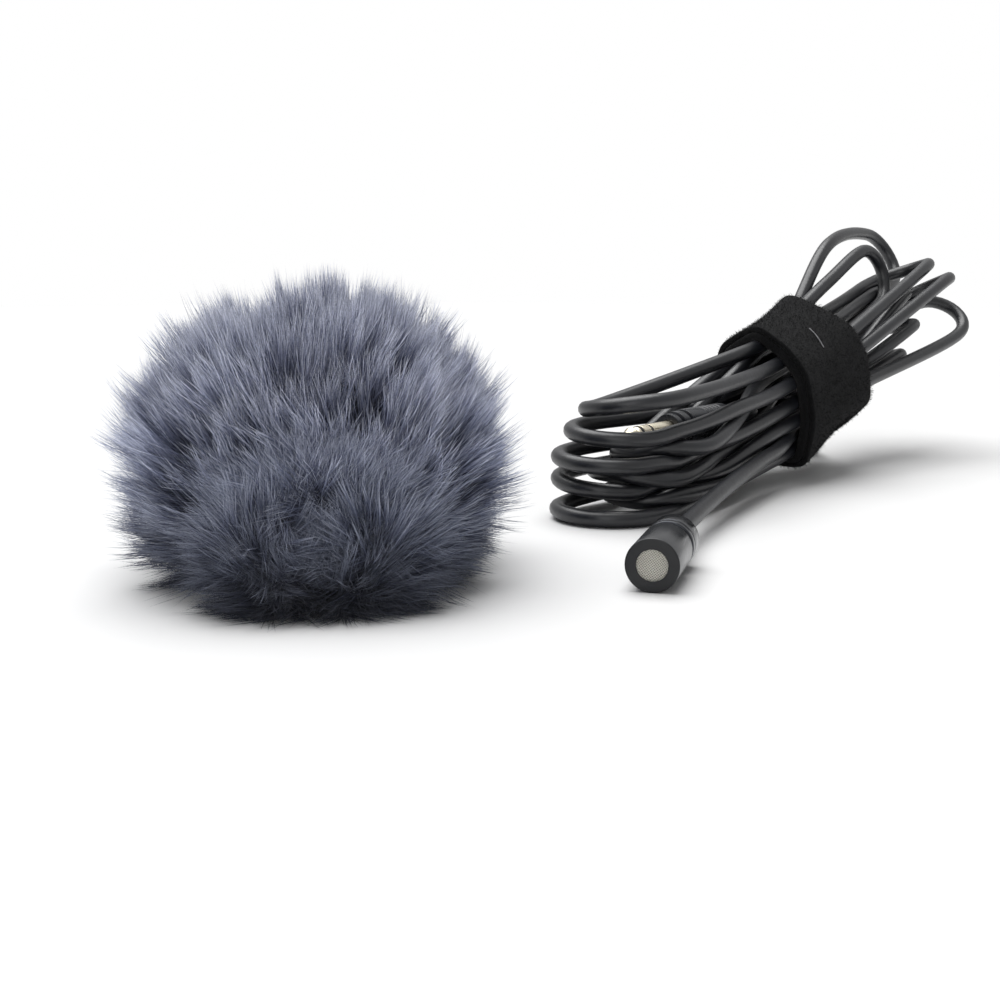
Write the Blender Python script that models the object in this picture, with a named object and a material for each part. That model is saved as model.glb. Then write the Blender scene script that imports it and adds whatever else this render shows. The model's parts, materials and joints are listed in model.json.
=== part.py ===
"""Lavalier microphone: mic head, hank of cable with its tie, 3.5 mm plug and furry windscreen.

Units are metres. +Z is up and the table is Z = 0. The microphone's face looks along -Y.
The origin lies on the table, under the middle of the windscreen and the mic head together.
"""
from math import asin, cos, pi, radians, sin, sqrt

import bmesh
import bpy
from mathutils import Vector

MM = 0.001

# ---- driving dimensions ----
MIC_RADIUS = 4.15 * MM
MIC_LENGTH = 20.0 * MM
FACE_OPENING_RADIUS = 2.43 * MM
CORD_RADIUS = 1.5 * MM
WINDSCREEN_RADIUS_X = 32.0 * MM
WINDSCREEN_RADIUS_Y = 30.0 * MM
WINDSCREEN_HEIGHT = 46.0 * MM
SPAN_X = 90.0 * MM                  # from the windscreen's far side to the mic head's far side
TIE_WIDTH = 25.0 * MM
TIE_THICKNESS = 1.8 * MM
TOUCH_GAP = 0.3 * MM                # between pieces that rest on each other
FIT_GAP = 0.1 * MM                  # between the small pieces inside the head and the plug

# ---- derived places ----
MIC_FOOT = Vector((SPAN_X / 2 - MIC_RADIUS, -3.0 * MM, 0.0))     # on the table, under the face
MIC_FACE = MIC_FOOT + Vector((0.0, 0.0, MIC_RADIUS))
WINDSCREEN_X = -SPAN_X / 2 + WINDSCREEN_RADIUS_X

# ---- mic head, distances behind the face ----
LIP_THICKNESS = 0.40 * MM
CAP_LENGTH = 0.61 * MIC_LENGTH
GROOVE_END = 0.68 * MIC_LENGTH
CAP_BORE = 3.45 * MM
SPIGOT_START = 10.0 * MM
SPIGOT_RADIUS = CAP_BORE - FIT_GAP
BOOT_BORE = 1.0 * MM
BOOT_END = MIC_LENGTH + 8.0 * MM
CAPSULE_RADIUS = 3.0 * MM
CAPSULE_START = 1.50 * MM
CAPSULE_END = 4.40 * MM
CAN_WALL = 0.15 * MM
STACK_RADIUS = CAPSULE_RADIUS - CAN_WALL - FIT_GAP
WIRE_RADIUS = 0.25 * MM
WIRE_OFFSET = 0.5 * MM

# ---- plug, distances from its shoulder towards the cable; the jack is on the minus side ----
PLUG_SHOULDER = MIC_FOOT + Vector((-9.4, 68.5, 15.0)) * MM
PLUG_HEADING = radians(24.8)        # clockwise from +Y, seen from above
JACK_RADIUS = 1.75 * MM
JACK_LENGTH = 14.0 * MM
BARREL_RADIUS = 3.5 * MM
BARREL_LENGTH = 20.0 * MM
TAIL_LENGTH = 5.0 * MM

# ---- windscreen ----
WIDEST_HEIGHT = 15.5 * MM
UNDERSIDE_DEPTH = 19.0 * MM         # how far the round underside would reach if the table did not flatten it
POCKET_TURN = radians(23)           # the pocket opens this far to the right of -Y
POCKET_HEIGHT = 8.5 * MM
POCKET_RADIUS = 5.6 * MM
POCKET_END = -2.0 * MM
LINER_RADIUS = POCKET_RADIUS - TOUCH_GAP
LINER_WALL = 0.5 * MM
LINER_MOUTH = -25.0 * MM
NECK_LENGTH = 2.0 * MM
NECK_BORE = 4.6 * MM

# ---- hank: (x, y, half-width, lowest, highest) in mm from the mic face's foot, near end to far end ----
HANK_STATIONS = (
    (-21.5, 45.5, 11.0, 0.0, 21.5),
    (-17.0, 56.5, 11.2, 0.0, 21.5),
    (-9.0, 76.0, 10.6, 0.8, 23.0),
    (-1.0, 95.0, 9.8, 2.3, 27.5),
    (4.0, 106.5, 9.5, 3.4, 29.5),
    (11.5, 123.5, 9.5, 6.2, 33.0),
    (14.5, 139.0, 12.5, 1.0, 37.0),
    (24.0, 160.0, 13.0, 4.5, 43.0),
    (31.5, 181.0, 12.5, 8.0, 46.0),
)
STEPS_PER_STATION = 3
END_ROUND = 11.0 * MM               # how far the outline's round ends reach along the hank
END_STEPS = 6
NARROW_END = 0.25                   # the outline's width at its very tips, as a share
SECTION_POINTS = 24
SECTION_POWER = 2.6                 # of the hank's rounded-box section
TIE_START = 4.0                     # station at the tie's near rim
TIE_STATION_SPACING = 18.6 * MM     # from that station to the next
TIE_END = TIE_START + TIE_WIDTH / TIE_STATION_SPACING
TIE_STEPS = 4

# ---- the lead's route to the hank, in mm from the mic face's foot, behind the boot ----
LEAD_ROUTE = (
    (0.0, 28.3, 4.15),
    (0.2, 34.0, 4.3),
    (0.9, 42.0, 4.8),
    (1.9, 50.0, 5.4),
    (3.1, 58.0, 6.1),
    (4.5, 66.0, 6.8),
    (5.9, 74.0, 7.4),
    (7.4, 82.0, 8.0),
    (9.0, 89.0, 8.5),
)
LEAD_POINTS = 24

ROUND_SEGMENTS = 40
SMALL_SEGMENTS = 24


# ---- scene helpers ----
def clear_scene():
    for obj in list(bpy.data.objects):
        bpy.data.objects.remove(obj, do_unlink=True)


def material(name, color, roughness, metallic=0.0):
    mat = bpy.data.materials.new(name)
    mat.use_nodes = True
    shader = mat.node_tree.nodes["Principled BSDF"]
    shader.inputs["Base Color"].default_value = (*color, 1.0)
    shader.inputs["Roughness"].default_value = roughness
    shader.inputs["Metallic"].default_value = metallic
    mat.diffuse_color = (*color, 1.0)
    return mat


def add_object(name, data, mat, parent=None):
    obj = bpy.data.objects.new(name, data)
    bpy.context.scene.collection.objects.link(obj)
    obj.data.materials.append(mat)
    obj.parent = parent
    return obj


def add_mesh(name, bm, mat, parent=None, smooth_angle=35.0):
    """Turn a bmesh into an object, shaded smooth except at edges sharper than the angle."""
    bmesh.ops.recalc_face_normals(bm, faces=bm.faces)
    mesh = bpy.data.meshes.new(name)
    bm.to_mesh(mesh)
    bm.free()
    mesh.shade_smooth()
    mesh.set_sharp_from_angle(angle=radians(smooth_angle))
    return add_object(name, mesh, mat, parent)


def add_frame(name, location, heading):
    """An empty whose local +Z runs level, along the heading (clockwise from +Y)."""
    empty = bpy.data.objects.new(name, None)
    bpy.context.scene.collection.objects.link(empty)
    empty.location = location
    empty.rotation_euler = (-pi / 2, 0.0, -heading)
    return empty


# ---- shape helpers ----
def turned(profile, segments):
    """Spin a closed outline of (radius, distance) points about the local Z axis."""
    bm = bmesh.new()
    ring = [bm.verts.new((radius, 0.0, z)) for radius, z in profile]
    edges = [bm.edges.new((ring[i], ring[(i + 1) % len(ring)])) for i in range(len(ring))]
    on_axis = [e for e in edges if all(v.co.x == 0.0 for v in e.verts)]
    bmesh.ops.delete(bm, geom=on_axis, context="EDGES")
    bmesh.ops.spin(
        bm,
        geom=bm.verts[:] + bm.edges[:],
        cent=(0, 0, 0),
        axis=(0, 0, 1),
        angle=2 * pi,
        steps=segments,
        use_duplicate=False,
    )
    bmesh.ops.remove_doubles(bm, verts=bm.verts, dist=0.002 * MM)
    return bm


def tube_profile(inner, outer, start, end, chamfer=0.0):
    """A ring's outline; a chamfer softens both outer edges."""
    if chamfer == 0.0:
        return ((inner, start), (outer, start), (outer, end), (inner, end))
    return (
        (inner, start),
        (outer - chamfer, start),
        (outer, start + chamfer),
        (outer, end - chamfer),
        (outer - chamfer, end),
        (inner, end),
    )


def box(size, centre):
    bm = bmesh.new()
    bmesh.ops.create_cube(bm, size=1.0)
    bmesh.ops.scale(bm, vec=size, verts=bm.verts)
    bmesh.ops.translate(bm, vec=centre, verts=bm.verts)
    return bm


def catmull(points, index, t):
    """A point of the smooth curve through the points, at t between index and index + 1."""
    last = len(points) - 1
    before = points[max(index - 1, 0)]
    here = points[index]
    after = points[min(index + 1, last)]
    beyond = points[min(index + 2, last)]
    return 0.5 * (
        2 * here
        + (after - before) * t
        + (2 * before - 5 * here + 4 * after - beyond) * t**2
        + (3 * here - before - 3 * after + beyond) * t**3
    )


def smooth_points(points, count):
    """Points spaced evenly in parameter along the smooth curve through the given ones."""
    result = []
    for i in range(count):
        place = i / (count - 1) * (len(points) - 1)
        index = min(int(place), len(points) - 2)
        result.append(catmull(points, index, place - index))
    return result


def cord_curve(name, points, radius, mat, parent=None, bevel_resolution=2):
    """A round tube through the points, with filled ends."""
    curve = bpy.data.curves.new(name, "CURVE")
    curve.dimensions = "3D"
    curve.bevel_depth = radius
    curve.bevel_resolution = bevel_resolution
    curve.use_fill_caps = True
    spline = curve.splines.new("POLY")
    spline.points.add(len(points) - 1)
    for point, place in zip(spline.points, points):
        point.co = (*place, 1.0)
    return add_object(name, curve, mat, parent)


def subtract(obj, cutter):
    """Cut one object with another, which stays in the file as a hidden guide."""
    cutter.hide_render = True
    cutter.display_type = "WIRE"
    cut = obj.modifiers.new("cut_" + cutter.name, "BOOLEAN")
    cut.operation = "DIFFERENCE"
    cut.solver = "EXACT"
    cut.object = cutter


# ---- mic head ----
def build_front_cap(frame, mats):
    """Black cup: a lip round the grille, and the front barrel in one piece with it."""
    edge = 0.15 * MM
    profile = (
        (FACE_OPENING_RADIUS + edge, 0.0),
        (MIC_RADIUS - edge, 0.0),
        (MIC_RADIUS, edge),
        (MIC_RADIUS, CAP_LENGTH - edge),
        (MIC_RADIUS - edge, CAP_LENGTH),
        (CAP_BORE, CAP_LENGTH),
        (CAP_BORE, LIP_THICKNESS),
        (FACE_OPENING_RADIUS, LIP_THICKNESS),
        (FACE_OPENING_RADIUS, edge),
    )
    return add_mesh("front_cap", turned(profile, ROUND_SEGMENTS), mats["anodised"], frame)


def build_grille_stack(frame, mats):
    """The woven disc behind the lip and the felt that keeps dust off the capsule."""
    grille = tube_profile(0.0, 3.3 * MM, LIP_THICKNESS + FIT_GAP, 0.70 * MM)
    add_mesh("mesh_grille", turned(grille, SMALL_SEGMENTS), mats["wire"], frame)
    felt = tube_profile(0.0, 3.3 * MM, 0.80 * MM, 1.35 * MM)
    add_mesh("dust_felt", turned(felt, SMALL_SEGMENTS), mats["felt"], frame)


def build_capsule(frame, mats):
    """Electret capsule: can, film, spacer, backplate in its holder, board and transistor."""
    lip_radius = 2.4 * MM
    sound_hole = 1.0 * MM
    inner = CAPSULE_RADIUS - CAN_WALL
    can = (
        (sound_hole, CAPSULE_START),
        (CAPSULE_RADIUS, CAPSULE_START),
        (CAPSULE_RADIUS, CAPSULE_END),
        (lip_radius, CAPSULE_END),
        (lip_radius, CAPSULE_END - CAN_WALL),
        (inner, CAPSULE_END - CAN_WALL),
        (inner, CAPSULE_START + CAN_WALL),
        (sound_hole, CAPSULE_START + CAN_WALL),
    )
    add_mesh("capsule_can", turned(can, SMALL_SEGMENTS), mats["aluminium"], frame)
    film = tube_profile(0.0, STACK_RADIUS, 1.80 * MM, 2.00 * MM)
    add_mesh("capsule_diaphragm", turned(film, SMALL_SEGMENTS), mats["gold"], frame)
    spacer = tube_profile(2.35 * MM, STACK_RADIUS, 2.10 * MM, 2.25 * MM)
    add_mesh("capsule_spacer", turned(spacer, SMALL_SEGMENTS), mats["plastic"], frame)
    plate = tube_profile(0.35 * MM, 2.2 * MM, 2.35 * MM, 2.70 * MM)
    add_mesh("capsule_backplate", turned(plate, SMALL_SEGMENTS), mats["aluminium"], frame)
    holder = tube_profile(2.3 * MM, STACK_RADIUS, 2.35 * MM, 3.60 * MM)
    add_mesh("capsule_holder", turned(holder, SMALL_SEGMENTS), mats["plastic"], frame)
    board = tube_profile(0.0, STACK_RADIUS, 3.70 * MM, 4.10 * MM)
    add_mesh("capsule_board", turned(board, SMALL_SEGMENTS), mats["board"], frame)
    chip = box((1.3 * MM, 1.0 * MM, 0.6 * MM), (0.0, 0.0, 3.25 * MM))
    add_mesh("fet_chip", chip, mats["plastic"], frame)
    sleeve = tube_profile(CAPSULE_RADIUS + FIT_GAP, CAP_BORE - FIT_GAP, 1.45 * MM, 5.0 * MM)
    add_mesh("capsule_sleeve", turned(sleeve, SMALL_SEGMENTS), mats["rubber"], frame)


def build_rear(frame, mats):
    """Inner tube that plugs into the cap and shows in the groove, with the shiny collar on it."""
    bore = 2.5 * MM
    body = tube_profile(bore, SPIGOT_RADIUS, SPIGOT_START, MIC_LENGTH - 0.3 * MM)
    add_mesh("rear_body", turned(body, ROUND_SEGMENTS), mats["anodised"], frame)
    edge = 0.25 * MM
    collar = tube_profile(
        SPIGOT_RADIUS + FIT_GAP, MIC_RADIUS - 0.05 * MM, GROOVE_END, MIC_LENGTH, edge
    )
    add_mesh("rear_collar", turned(collar, ROUND_SEGMENTS), mats["polished"], frame)


def build_boot(frame, mats):
    """Rubber strain relief, held in the inner tube and tapering down to the cord."""
    plug_radius = 2.4 * MM
    profile = (
        (BOOT_BORE, MIC_LENGTH - 3.0 * MM),
        (plug_radius, MIC_LENGTH - 3.0 * MM),
        (plug_radius, MIC_LENGTH + FIT_GAP),
        (2.6 * MM, MIC_LENGTH + FIT_GAP),
        (2.6 * MM, MIC_LENGTH + 1.0 * MM),
        (2.1 * MM, MIC_LENGTH + 4.0 * MM),
        (CORD_RADIUS + 0.3 * MM, BOOT_END),
        (BOOT_BORE, BOOT_END),
    )
    add_mesh("cable_boot", turned(profile, SMALL_SEGMENTS), mats["rubber"], frame)


def build_wires(frame, mats):
    """The two cores: from the board's solder pads to the middle of the boot."""
    for name, side, mat in (("signal_wire", 1, "red"), ("shield_wire", -1, "copper")):
        route = [
            Vector((side * 1.4 * MM, 0.0, 4.60 * MM)),
            Vector((side * 1.3 * MM, 0.3 * MM, 7.0 * MM)),
            Vector((side * 1.0 * MM, 0.2 * MM, 11.0 * MM)),
            Vector((side * WIRE_OFFSET, 0.0, 15.0 * MM)),
            Vector((side * WIRE_OFFSET, 0.0, 21.0 * MM)),
            Vector((side * WIRE_OFFSET, 0.0, BOOT_END - FIT_GAP)),
        ]
        cord_curve(name, smooth_points(route, 14), WIRE_RADIUS, mats[mat], frame, 1)


# ---- plug ----
def build_plug(frame, mats):
    """Moulded barrel with grip grooves, its strain relief, and the three gold contacts."""
    bore = JACK_RADIUS + FIT_GAP
    barrel = (
        (bore, 0.0),
        (2.8 * MM, 0.0),
        (3.0 * MM, 0.2 * MM),
        (3.0 * MM, 1.4 * MM),
        (2.5 * MM, 1.4 * MM),
        (2.5 * MM, 2.1 * MM),
        (3.3 * MM, 2.1 * MM),
        (3.3 * MM, 4.0 * MM),
        (2.7 * MM, 4.0 * MM),
        (2.7 * MM, 4.7 * MM),
        (BARREL_RADIUS, 4.7 * MM),
        (BARREL_RADIUS, BARREL_LENGTH - 1.0 * MM),
        (BARREL_RADIUS - 0.8 * MM, BARREL_LENGTH),
        (bore, BARREL_LENGTH),
    )
    add_mesh("plug_barrel", turned(barrel, ROUND_SEGMENTS), mats["gloss"], frame)
    tail = (
        (0.0, BARREL_LENGTH + FIT_GAP),
        (2.5 * MM, BARREL_LENGTH + FIT_GAP),
        (CORD_RADIUS + 0.3 * MM, BARREL_LENGTH + TAIL_LENGTH),
        (0.0, BARREL_LENGTH + TAIL_LENGTH),
    )
    add_mesh("plug_tail", turned(tail, SMALL_SEGMENTS), mats["rubber"], frame)


def build_contacts(frame, mats):
    """Sleeve, ring and tip contacts one inside the other, with the insulating rings between."""
    sleeve_end = -6.6 * MM
    ring_start = -9.5 * MM
    tip_start = -10.2 * MM
    insulator_radius = JACK_RADIUS - 0.05 * MM
    ring_core = 0.85 * MM
    tip_core = 0.45 * MM
    sleeve = tube_profile(1.05 * MM, JACK_RADIUS, sleeve_end, 4.0 * MM)
    add_mesh("jack_sleeve", turned(sleeve, SMALL_SEGMENTS), mats["gold"], frame)
    ring = (
        (tip_core + FIT_GAP, ring_start),
        (JACK_RADIUS, ring_start),
        (JACK_RADIUS, -7.3 * MM),
        (ring_core, -7.3 * MM),
        (ring_core, 6.0 * MM),
        (tip_core + FIT_GAP, 6.0 * MM),
    )
    add_mesh("jack_ring", turned(ring, SMALL_SEGMENTS), mats["gold"], frame)
    tip = (
        (0.0, -JACK_LENGTH),
        (0.45 * MM, -JACK_LENGTH + 0.1 * MM),
        (1.15 * MM, -JACK_LENGTH + 1.1 * MM),
        (1.75 * MM, -JACK_LENGTH + 2.2 * MM),
        (1.70 * MM, -JACK_LENGTH + 2.5 * MM),
        (1.20 * MM, -JACK_LENGTH + 3.2 * MM),
        (1.25 * MM, tip_start - 0.25 * MM),
        (1.60 * MM, tip_start),
        (tip_core, tip_start),
        (tip_core, 8.0 * MM),
        (0.0, 8.0 * MM),
    )
    add_mesh("jack_tip", turned(tip, SMALL_SEGMENTS), mats["gold"], frame)
    rear = tube_profile(ring_core + FIT_GAP, insulator_radius, -7.2 * MM, -6.7 * MM)
    add_mesh("sleeve_insulator", turned(rear, SMALL_SEGMENTS), mats["plastic"], frame)
    front = tube_profile(tip_core + FIT_GAP, insulator_radius, -10.1 * MM, -9.6 * MM)
    add_mesh("tip_insulator", turned(front, SMALL_SEGMENTS), mats["plastic"], frame)


# ---- windscreen ----
def build_windscreen(mats):
    """Fur dome flattened by the table, with a lined pocket for the mic head in its front."""
    rise = WINDSCREEN_HEIGHT - WIDEST_HEIGHT
    lowest = -asin(WIDEST_HEIGHT / UNDERSIDE_DEPTH)
    rows_below = 4
    rows_above = 8
    below = [lowest * (1 - row / rows_below) for row in range(rows_below)]
    above = [pi / 2 * row / rows_above for row in range(rows_above)]
    profile = [(0.0, 0.0)]
    for angle in below + above:
        depth = rise if angle > 0 else UNDERSIDE_DEPTH
        height = max(WIDEST_HEIGHT + depth * sin(angle), 0.0)
        profile.append((WINDSCREEN_RADIUS_X * cos(angle), height))
    profile.append((0.0, WINDSCREEN_HEIGHT))
    bm = turned(profile, ROUND_SEGMENTS)
    squeeze = (1.0, WINDSCREEN_RADIUS_Y / WINDSCREEN_RADIUS_X, 1.0)
    bmesh.ops.scale(bm, vec=squeeze, verts=bm.verts)
    fur = add_mesh("fur_cover", bm, mats["fur"])
    fur.location.x = WINDSCREEN_X

    pocket_frame = add_frame("pocket_frame", (WINDSCREEN_X, 0.0, POCKET_HEIGHT), -POCKET_TURN)
    hole = tube_profile(0.0, POCKET_RADIUS, -WINDSCREEN_RADIUS_Y - 5 * MM, POCKET_END)
    hole_object = add_mesh("pocket_cutter", turned(hole, SMALL_SEGMENTS), mats["knit"])
    hole_object.parent = pocket_frame
    subtract(fur, hole_object)

    bore = LINER_RADIUS - LINER_WALL
    end = POCKET_END - TOUCH_GAP
    liner = (
        (bore, LINER_MOUTH),
        (LINER_RADIUS, LINER_MOUTH),
        (LINER_RADIUS, end),
        (0.0, end),
        (0.0, end - LINER_WALL),
        (bore, end - LINER_WALL),
    )
    add_mesh("knit_liner", turned(liner, SMALL_SEGMENTS), mats["knit"], pocket_frame)
    mouth = LINER_MOUTH - TOUCH_GAP
    neck = tube_profile(NECK_BORE, LINER_RADIUS, mouth - NECK_LENGTH, mouth, 0.25 * MM)
    add_mesh("neck_elastic", turned(neck, SMALL_SEGMENTS), mats["rubber"], pocket_frame)


# ---- hank, tie and lead ----
def along_stations(place):
    """The station's five values at a place between the listed ones."""
    stations = [Vector(station) for station in HANK_STATIONS]
    index = min(int(place), len(stations) - 2)
    return catmull(stations, index, place - index)


def hank_station(place):
    """Centre, sideways direction, half-width, lowest and highest at a place along the hank."""
    nudge = 0.02
    x, y, half_width, low, high = along_stations(place)
    x_ahead, y_ahead = along_stations(place + nudge)[:2]
    forward = Vector((x_ahead - x, y_ahead - y, 0.0)).normalized()
    sideways = Vector((forward.y, -forward.x, 0.0))
    centre = MIC_FOOT + Vector((x, y, 0.0)) * MM
    return centre, sideways, half_width * MM, low * MM, high * MM


def section_ring(bm, place, grow, shrink_width, angles):
    """One row of vertices round the hank, grown outwards by the given distance."""
    centre, sideways, half_width, low, high = hank_station(place)
    middle = (low + high) / 2
    half_height = (high - low) / 2 + grow
    half_width = half_width * shrink_width + grow
    ring = []
    for angle in angles:
        across = abs(cos(angle)) ** (2 / SECTION_POWER) * (1 if cos(angle) >= 0 else -1)
        upward = abs(sin(angle)) ** (2 / SECTION_POWER) * (1 if sin(angle) >= 0 else -1)
        point = centre + sideways * (half_width * across)
        point.z = middle + half_height * upward
        ring.append(bm.verts.new(point))
    return ring


def skin_rows(bm, rows, closed):
    """Quads between each row of vertices and the next; closed rows meet end to start."""
    for row, following in zip(rows, rows[1:]):
        count = len(row)
        for i in range(count if closed else count - 1):
            j = (i + 1) % count
            bm.faces.new((row[i], row[j], following[j], following[i]))


def full_turn():
    return [2 * pi * i / SECTION_POINTS for i in range(SECTION_POINTS)]


def hank_places():
    """Places of the hank's rows: close together round its two ends, even between them."""
    last = len(HANK_STATIONS) - 1
    ends = [1 - cos(pi / 2 * step / END_STEPS) for step in range(END_STEPS)]
    near_spacing = (hank_station(0.0)[0] - hank_station(1.0)[0]).length
    far_spacing = (hank_station(last)[0] - hank_station(last - 1.0)[0]).length
    near = [share * END_ROUND / near_spacing for share in ends]
    far = [last - share * END_ROUND / far_spacing for share in reversed(ends)]
    count = (last - 1) * STEPS_PER_STATION
    start = END_ROUND / near_spacing
    stop = last - END_ROUND / far_spacing
    middle = [start + (stop - start) * i / count for i in range(count + 1)]
    return near + middle + far


def end_width(place):
    """The outline's width, as a share: a quarter circle at each end of the hank."""
    here = hank_station(place)[0]
    ends = (hank_station(0.0)[0], hank_station(len(HANK_STATIONS) - 1)[0])
    distance = min((here - end).length for end in ends)
    if distance >= END_ROUND:
        return 1.0
    return max(NARROW_END, sqrt(1.0 - (1.0 - distance / END_ROUND) ** 2))


def build_hank(mats):
    """One closed body round all the folded runs, with an open bay where the plug lies."""
    bm = bmesh.new()
    turn = full_turn()
    rows = [section_ring(bm, place, 0.0, end_width(place), turn) for place in hank_places()]
    skin_rows(bm, rows, True)
    bm.faces.new(rows[0])
    bm.faces.new(rows[-1])
    hank = add_mesh("cord_hank", bm, mats["cord"], None, 50.0)

    bay_width = 2 * BARREL_RADIUS + 2.0 * MM
    bay_end = BARREL_LENGTH + TAIL_LENGTH + TOUCH_GAP
    bay_start = -JACK_LENGTH - 3.0 * MM
    bay_floor = -BARREL_RADIUS - TOUCH_GAP
    bay_top = 20.0 * MM
    size = (bay_width, bay_top - bay_floor, bay_end - bay_start)
    centre = (0.0, -(bay_top + bay_floor) / 2, (bay_end + bay_start) / 2)
    bay = add_mesh("bay_cutter", box(size, centre), mats["cord"])
    bay.location = PLUG_SHOULDER
    bay.rotation_euler = (-pi / 2, 0.0, -PLUG_HEADING)
    subtract(hank, bay)


def build_band(name, start, end, angles, grow_in, thickness, mat):
    """A strip wrapped round the hank: all the way round, or over a stretch of angles."""
    bm = bmesh.new()
    closed = angles is None
    turn = full_turn() if closed else angles
    inner = []
    outer = []
    for i in range(TIE_STEPS + 1):
        place = start + (end - start) * i / TIE_STEPS
        inner.append(section_ring(bm, place, grow_in, 1.0, turn))
        outer.append(section_ring(bm, place, grow_in + thickness, 1.0, turn))
    skin_rows(bm, inner, closed)
    skin_rows(bm, outer, closed)
    for rows in ((inner[0], outer[0]), (inner[-1], outer[-1])):
        skin_rows(bm, rows, closed)
    if not closed:
        for side in (0, -1):
            edge_in = [row[side] for row in inner]
            edge_out = [row[side] for row in outer]
            skin_rows(bm, (edge_in, edge_out), False)
    return add_mesh(name, bm, mat)


def build_tie(mats):
    """The hook-and-loop strip round the hank's waist, and its hook end lapped over the top."""
    build_band("tie_strip", TIE_START, TIE_END, None, TOUCH_GAP, TIE_THICKNESS, mats["pile"])
    lap_start = radians(75)
    lap_end = radians(190)
    lap_points = 10
    lap = [lap_start + (lap_end - lap_start) * i / (lap_points - 1) for i in range(lap_points)]
    lift = 2 * TOUCH_GAP + TIE_THICKNESS
    shift = 0.2                     # the hook end is lapped askew, nearer to the mic
    build_band(
        "tie_hook_tab", TIE_START - shift, TIE_END - shift, lap, lift, 1.3 * MM, mats["pile"]
    )


def build_lead(mats):
    """The free stretch: straight out of the boot and up to the hank's flank."""
    route = [MIC_FOOT + Vector(point) * MM for point in LEAD_ROUTE]
    cord_curve("cord_lead", smooth_points(route, LEAD_POINTS), CORD_RADIUS, mats["cord"])


def make_materials():
    return {
        "anodised": material("black_anodised", (0.018, 0.019, 0.022), 0.42, 0.6),
        "polished": material("polished_black", (0.05, 0.05, 0.055), 0.18, 0.9),
        "wire": material("steel_mesh", (0.60, 0.58, 0.52), 0.35, 1.0),
        "felt": material("grey_felt", (0.25, 0.24, 0.22), 0.95),
        "aluminium": material("aluminium", (0.80, 0.80, 0.82), 0.30, 1.0),
        "plastic": material("black_plastic", (0.03, 0.03, 0.03), 0.45),
        "board": material("green_board", (0.02, 0.16, 0.07), 0.50),
        "rubber": material("black_rubber", (0.02, 0.02, 0.022), 0.60),
        "copper": material("copper", (0.72, 0.38, 0.22), 0.35, 1.0),
        "red": material("red_insulation", (0.50, 0.03, 0.03), 0.45),
        "cord": material("cord_jacket", (0.015, 0.015, 0.018), 0.38),
        "gloss": material("moulded_black", (0.02, 0.02, 0.023), 0.25),
        "gold": material("gold_plate", (0.90, 0.68, 0.35), 0.22, 1.0),
        "pile": material("black_pile", (0.010, 0.010, 0.011), 0.95),
        "fur": material("blue_grey_fur", (0.17, 0.19, 0.26), 0.85),
        "knit": material("grey_knit", (0.12, 0.12, 0.14), 0.90),
    }


def main():
    clear_scene()
    mats = make_materials()
    mic_frame = add_frame("mic_frame", MIC_FACE, 0.0)
    build_front_cap(mic_frame, mats)
    build_grille_stack(mic_frame, mats)
    build_capsule(mic_frame, mats)
    build_rear(mic_frame, mats)
    build_boot(mic_frame, mats)
    build_wires(mic_frame, mats)
    plug_frame = add_frame("plug_frame", PLUG_SHOULDER, PLUG_HEADING)
    build_plug(plug_frame, mats)
    build_contacts(plug_frame, mats)
    build_windscreen(mats)
    build_hank(mats)
    build_tie(mats)
    build_lead(mats)


main()
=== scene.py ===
import json
from math import cos, pi, radians, sin, sqrt, tan

import bpy
import numpy as np
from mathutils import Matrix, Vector


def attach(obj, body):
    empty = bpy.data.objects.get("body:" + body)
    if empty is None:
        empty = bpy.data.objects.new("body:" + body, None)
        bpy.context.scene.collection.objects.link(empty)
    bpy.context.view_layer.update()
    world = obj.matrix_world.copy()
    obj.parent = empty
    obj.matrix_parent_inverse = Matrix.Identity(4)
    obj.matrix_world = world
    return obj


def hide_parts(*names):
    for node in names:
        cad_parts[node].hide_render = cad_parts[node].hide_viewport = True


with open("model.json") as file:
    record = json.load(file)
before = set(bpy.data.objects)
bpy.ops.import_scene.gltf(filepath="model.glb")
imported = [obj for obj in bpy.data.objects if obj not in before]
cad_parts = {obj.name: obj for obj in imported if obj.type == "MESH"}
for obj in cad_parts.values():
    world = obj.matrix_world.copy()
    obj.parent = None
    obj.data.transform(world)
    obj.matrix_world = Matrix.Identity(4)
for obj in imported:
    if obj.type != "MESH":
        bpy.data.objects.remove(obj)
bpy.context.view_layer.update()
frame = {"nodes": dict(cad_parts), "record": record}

MM = 0.001
UP = np.array((0.0, 0.0, 1.0))

# ---- camera ----
CAMERA_PLACE = Vector((78.0, -216.2, 53.5)) * MM
CAMERA_HEADING = radians(-15.8)  # clockwise from +Y, seen from above
CAMERA_PITCH = radians(-10.4)
CAMERA_VIEW = radians(36.8)

# ---- light ----
FILL_LIGHT = 0.24
SKY_LIGHT = 3.2
FRONT_LIGHT = 0.9
MIRRORED_BACKDROP = 0.45  # how much of the white backdrop shows in shiny surfaces
SKY_SPREAD = 60.0  # degrees across the soft overhead light
SKY_TOWARDS = (0.25, -0.24, -1.0)
CARD_PLACE = Vector((0.02, -0.75, 0.35))
CARD_AIM = Vector((0.03, 0.0, 0.0))
CARD_SIZE = 0.6

# ---- table: a flat disc of rings, each wider than the last by the same share ----
TABLE_RINGS = 8
TABLE_SEGMENTS = 96
TABLE_FIRST_RING = 0.06
TABLE_GROWTH = 1.45

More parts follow.
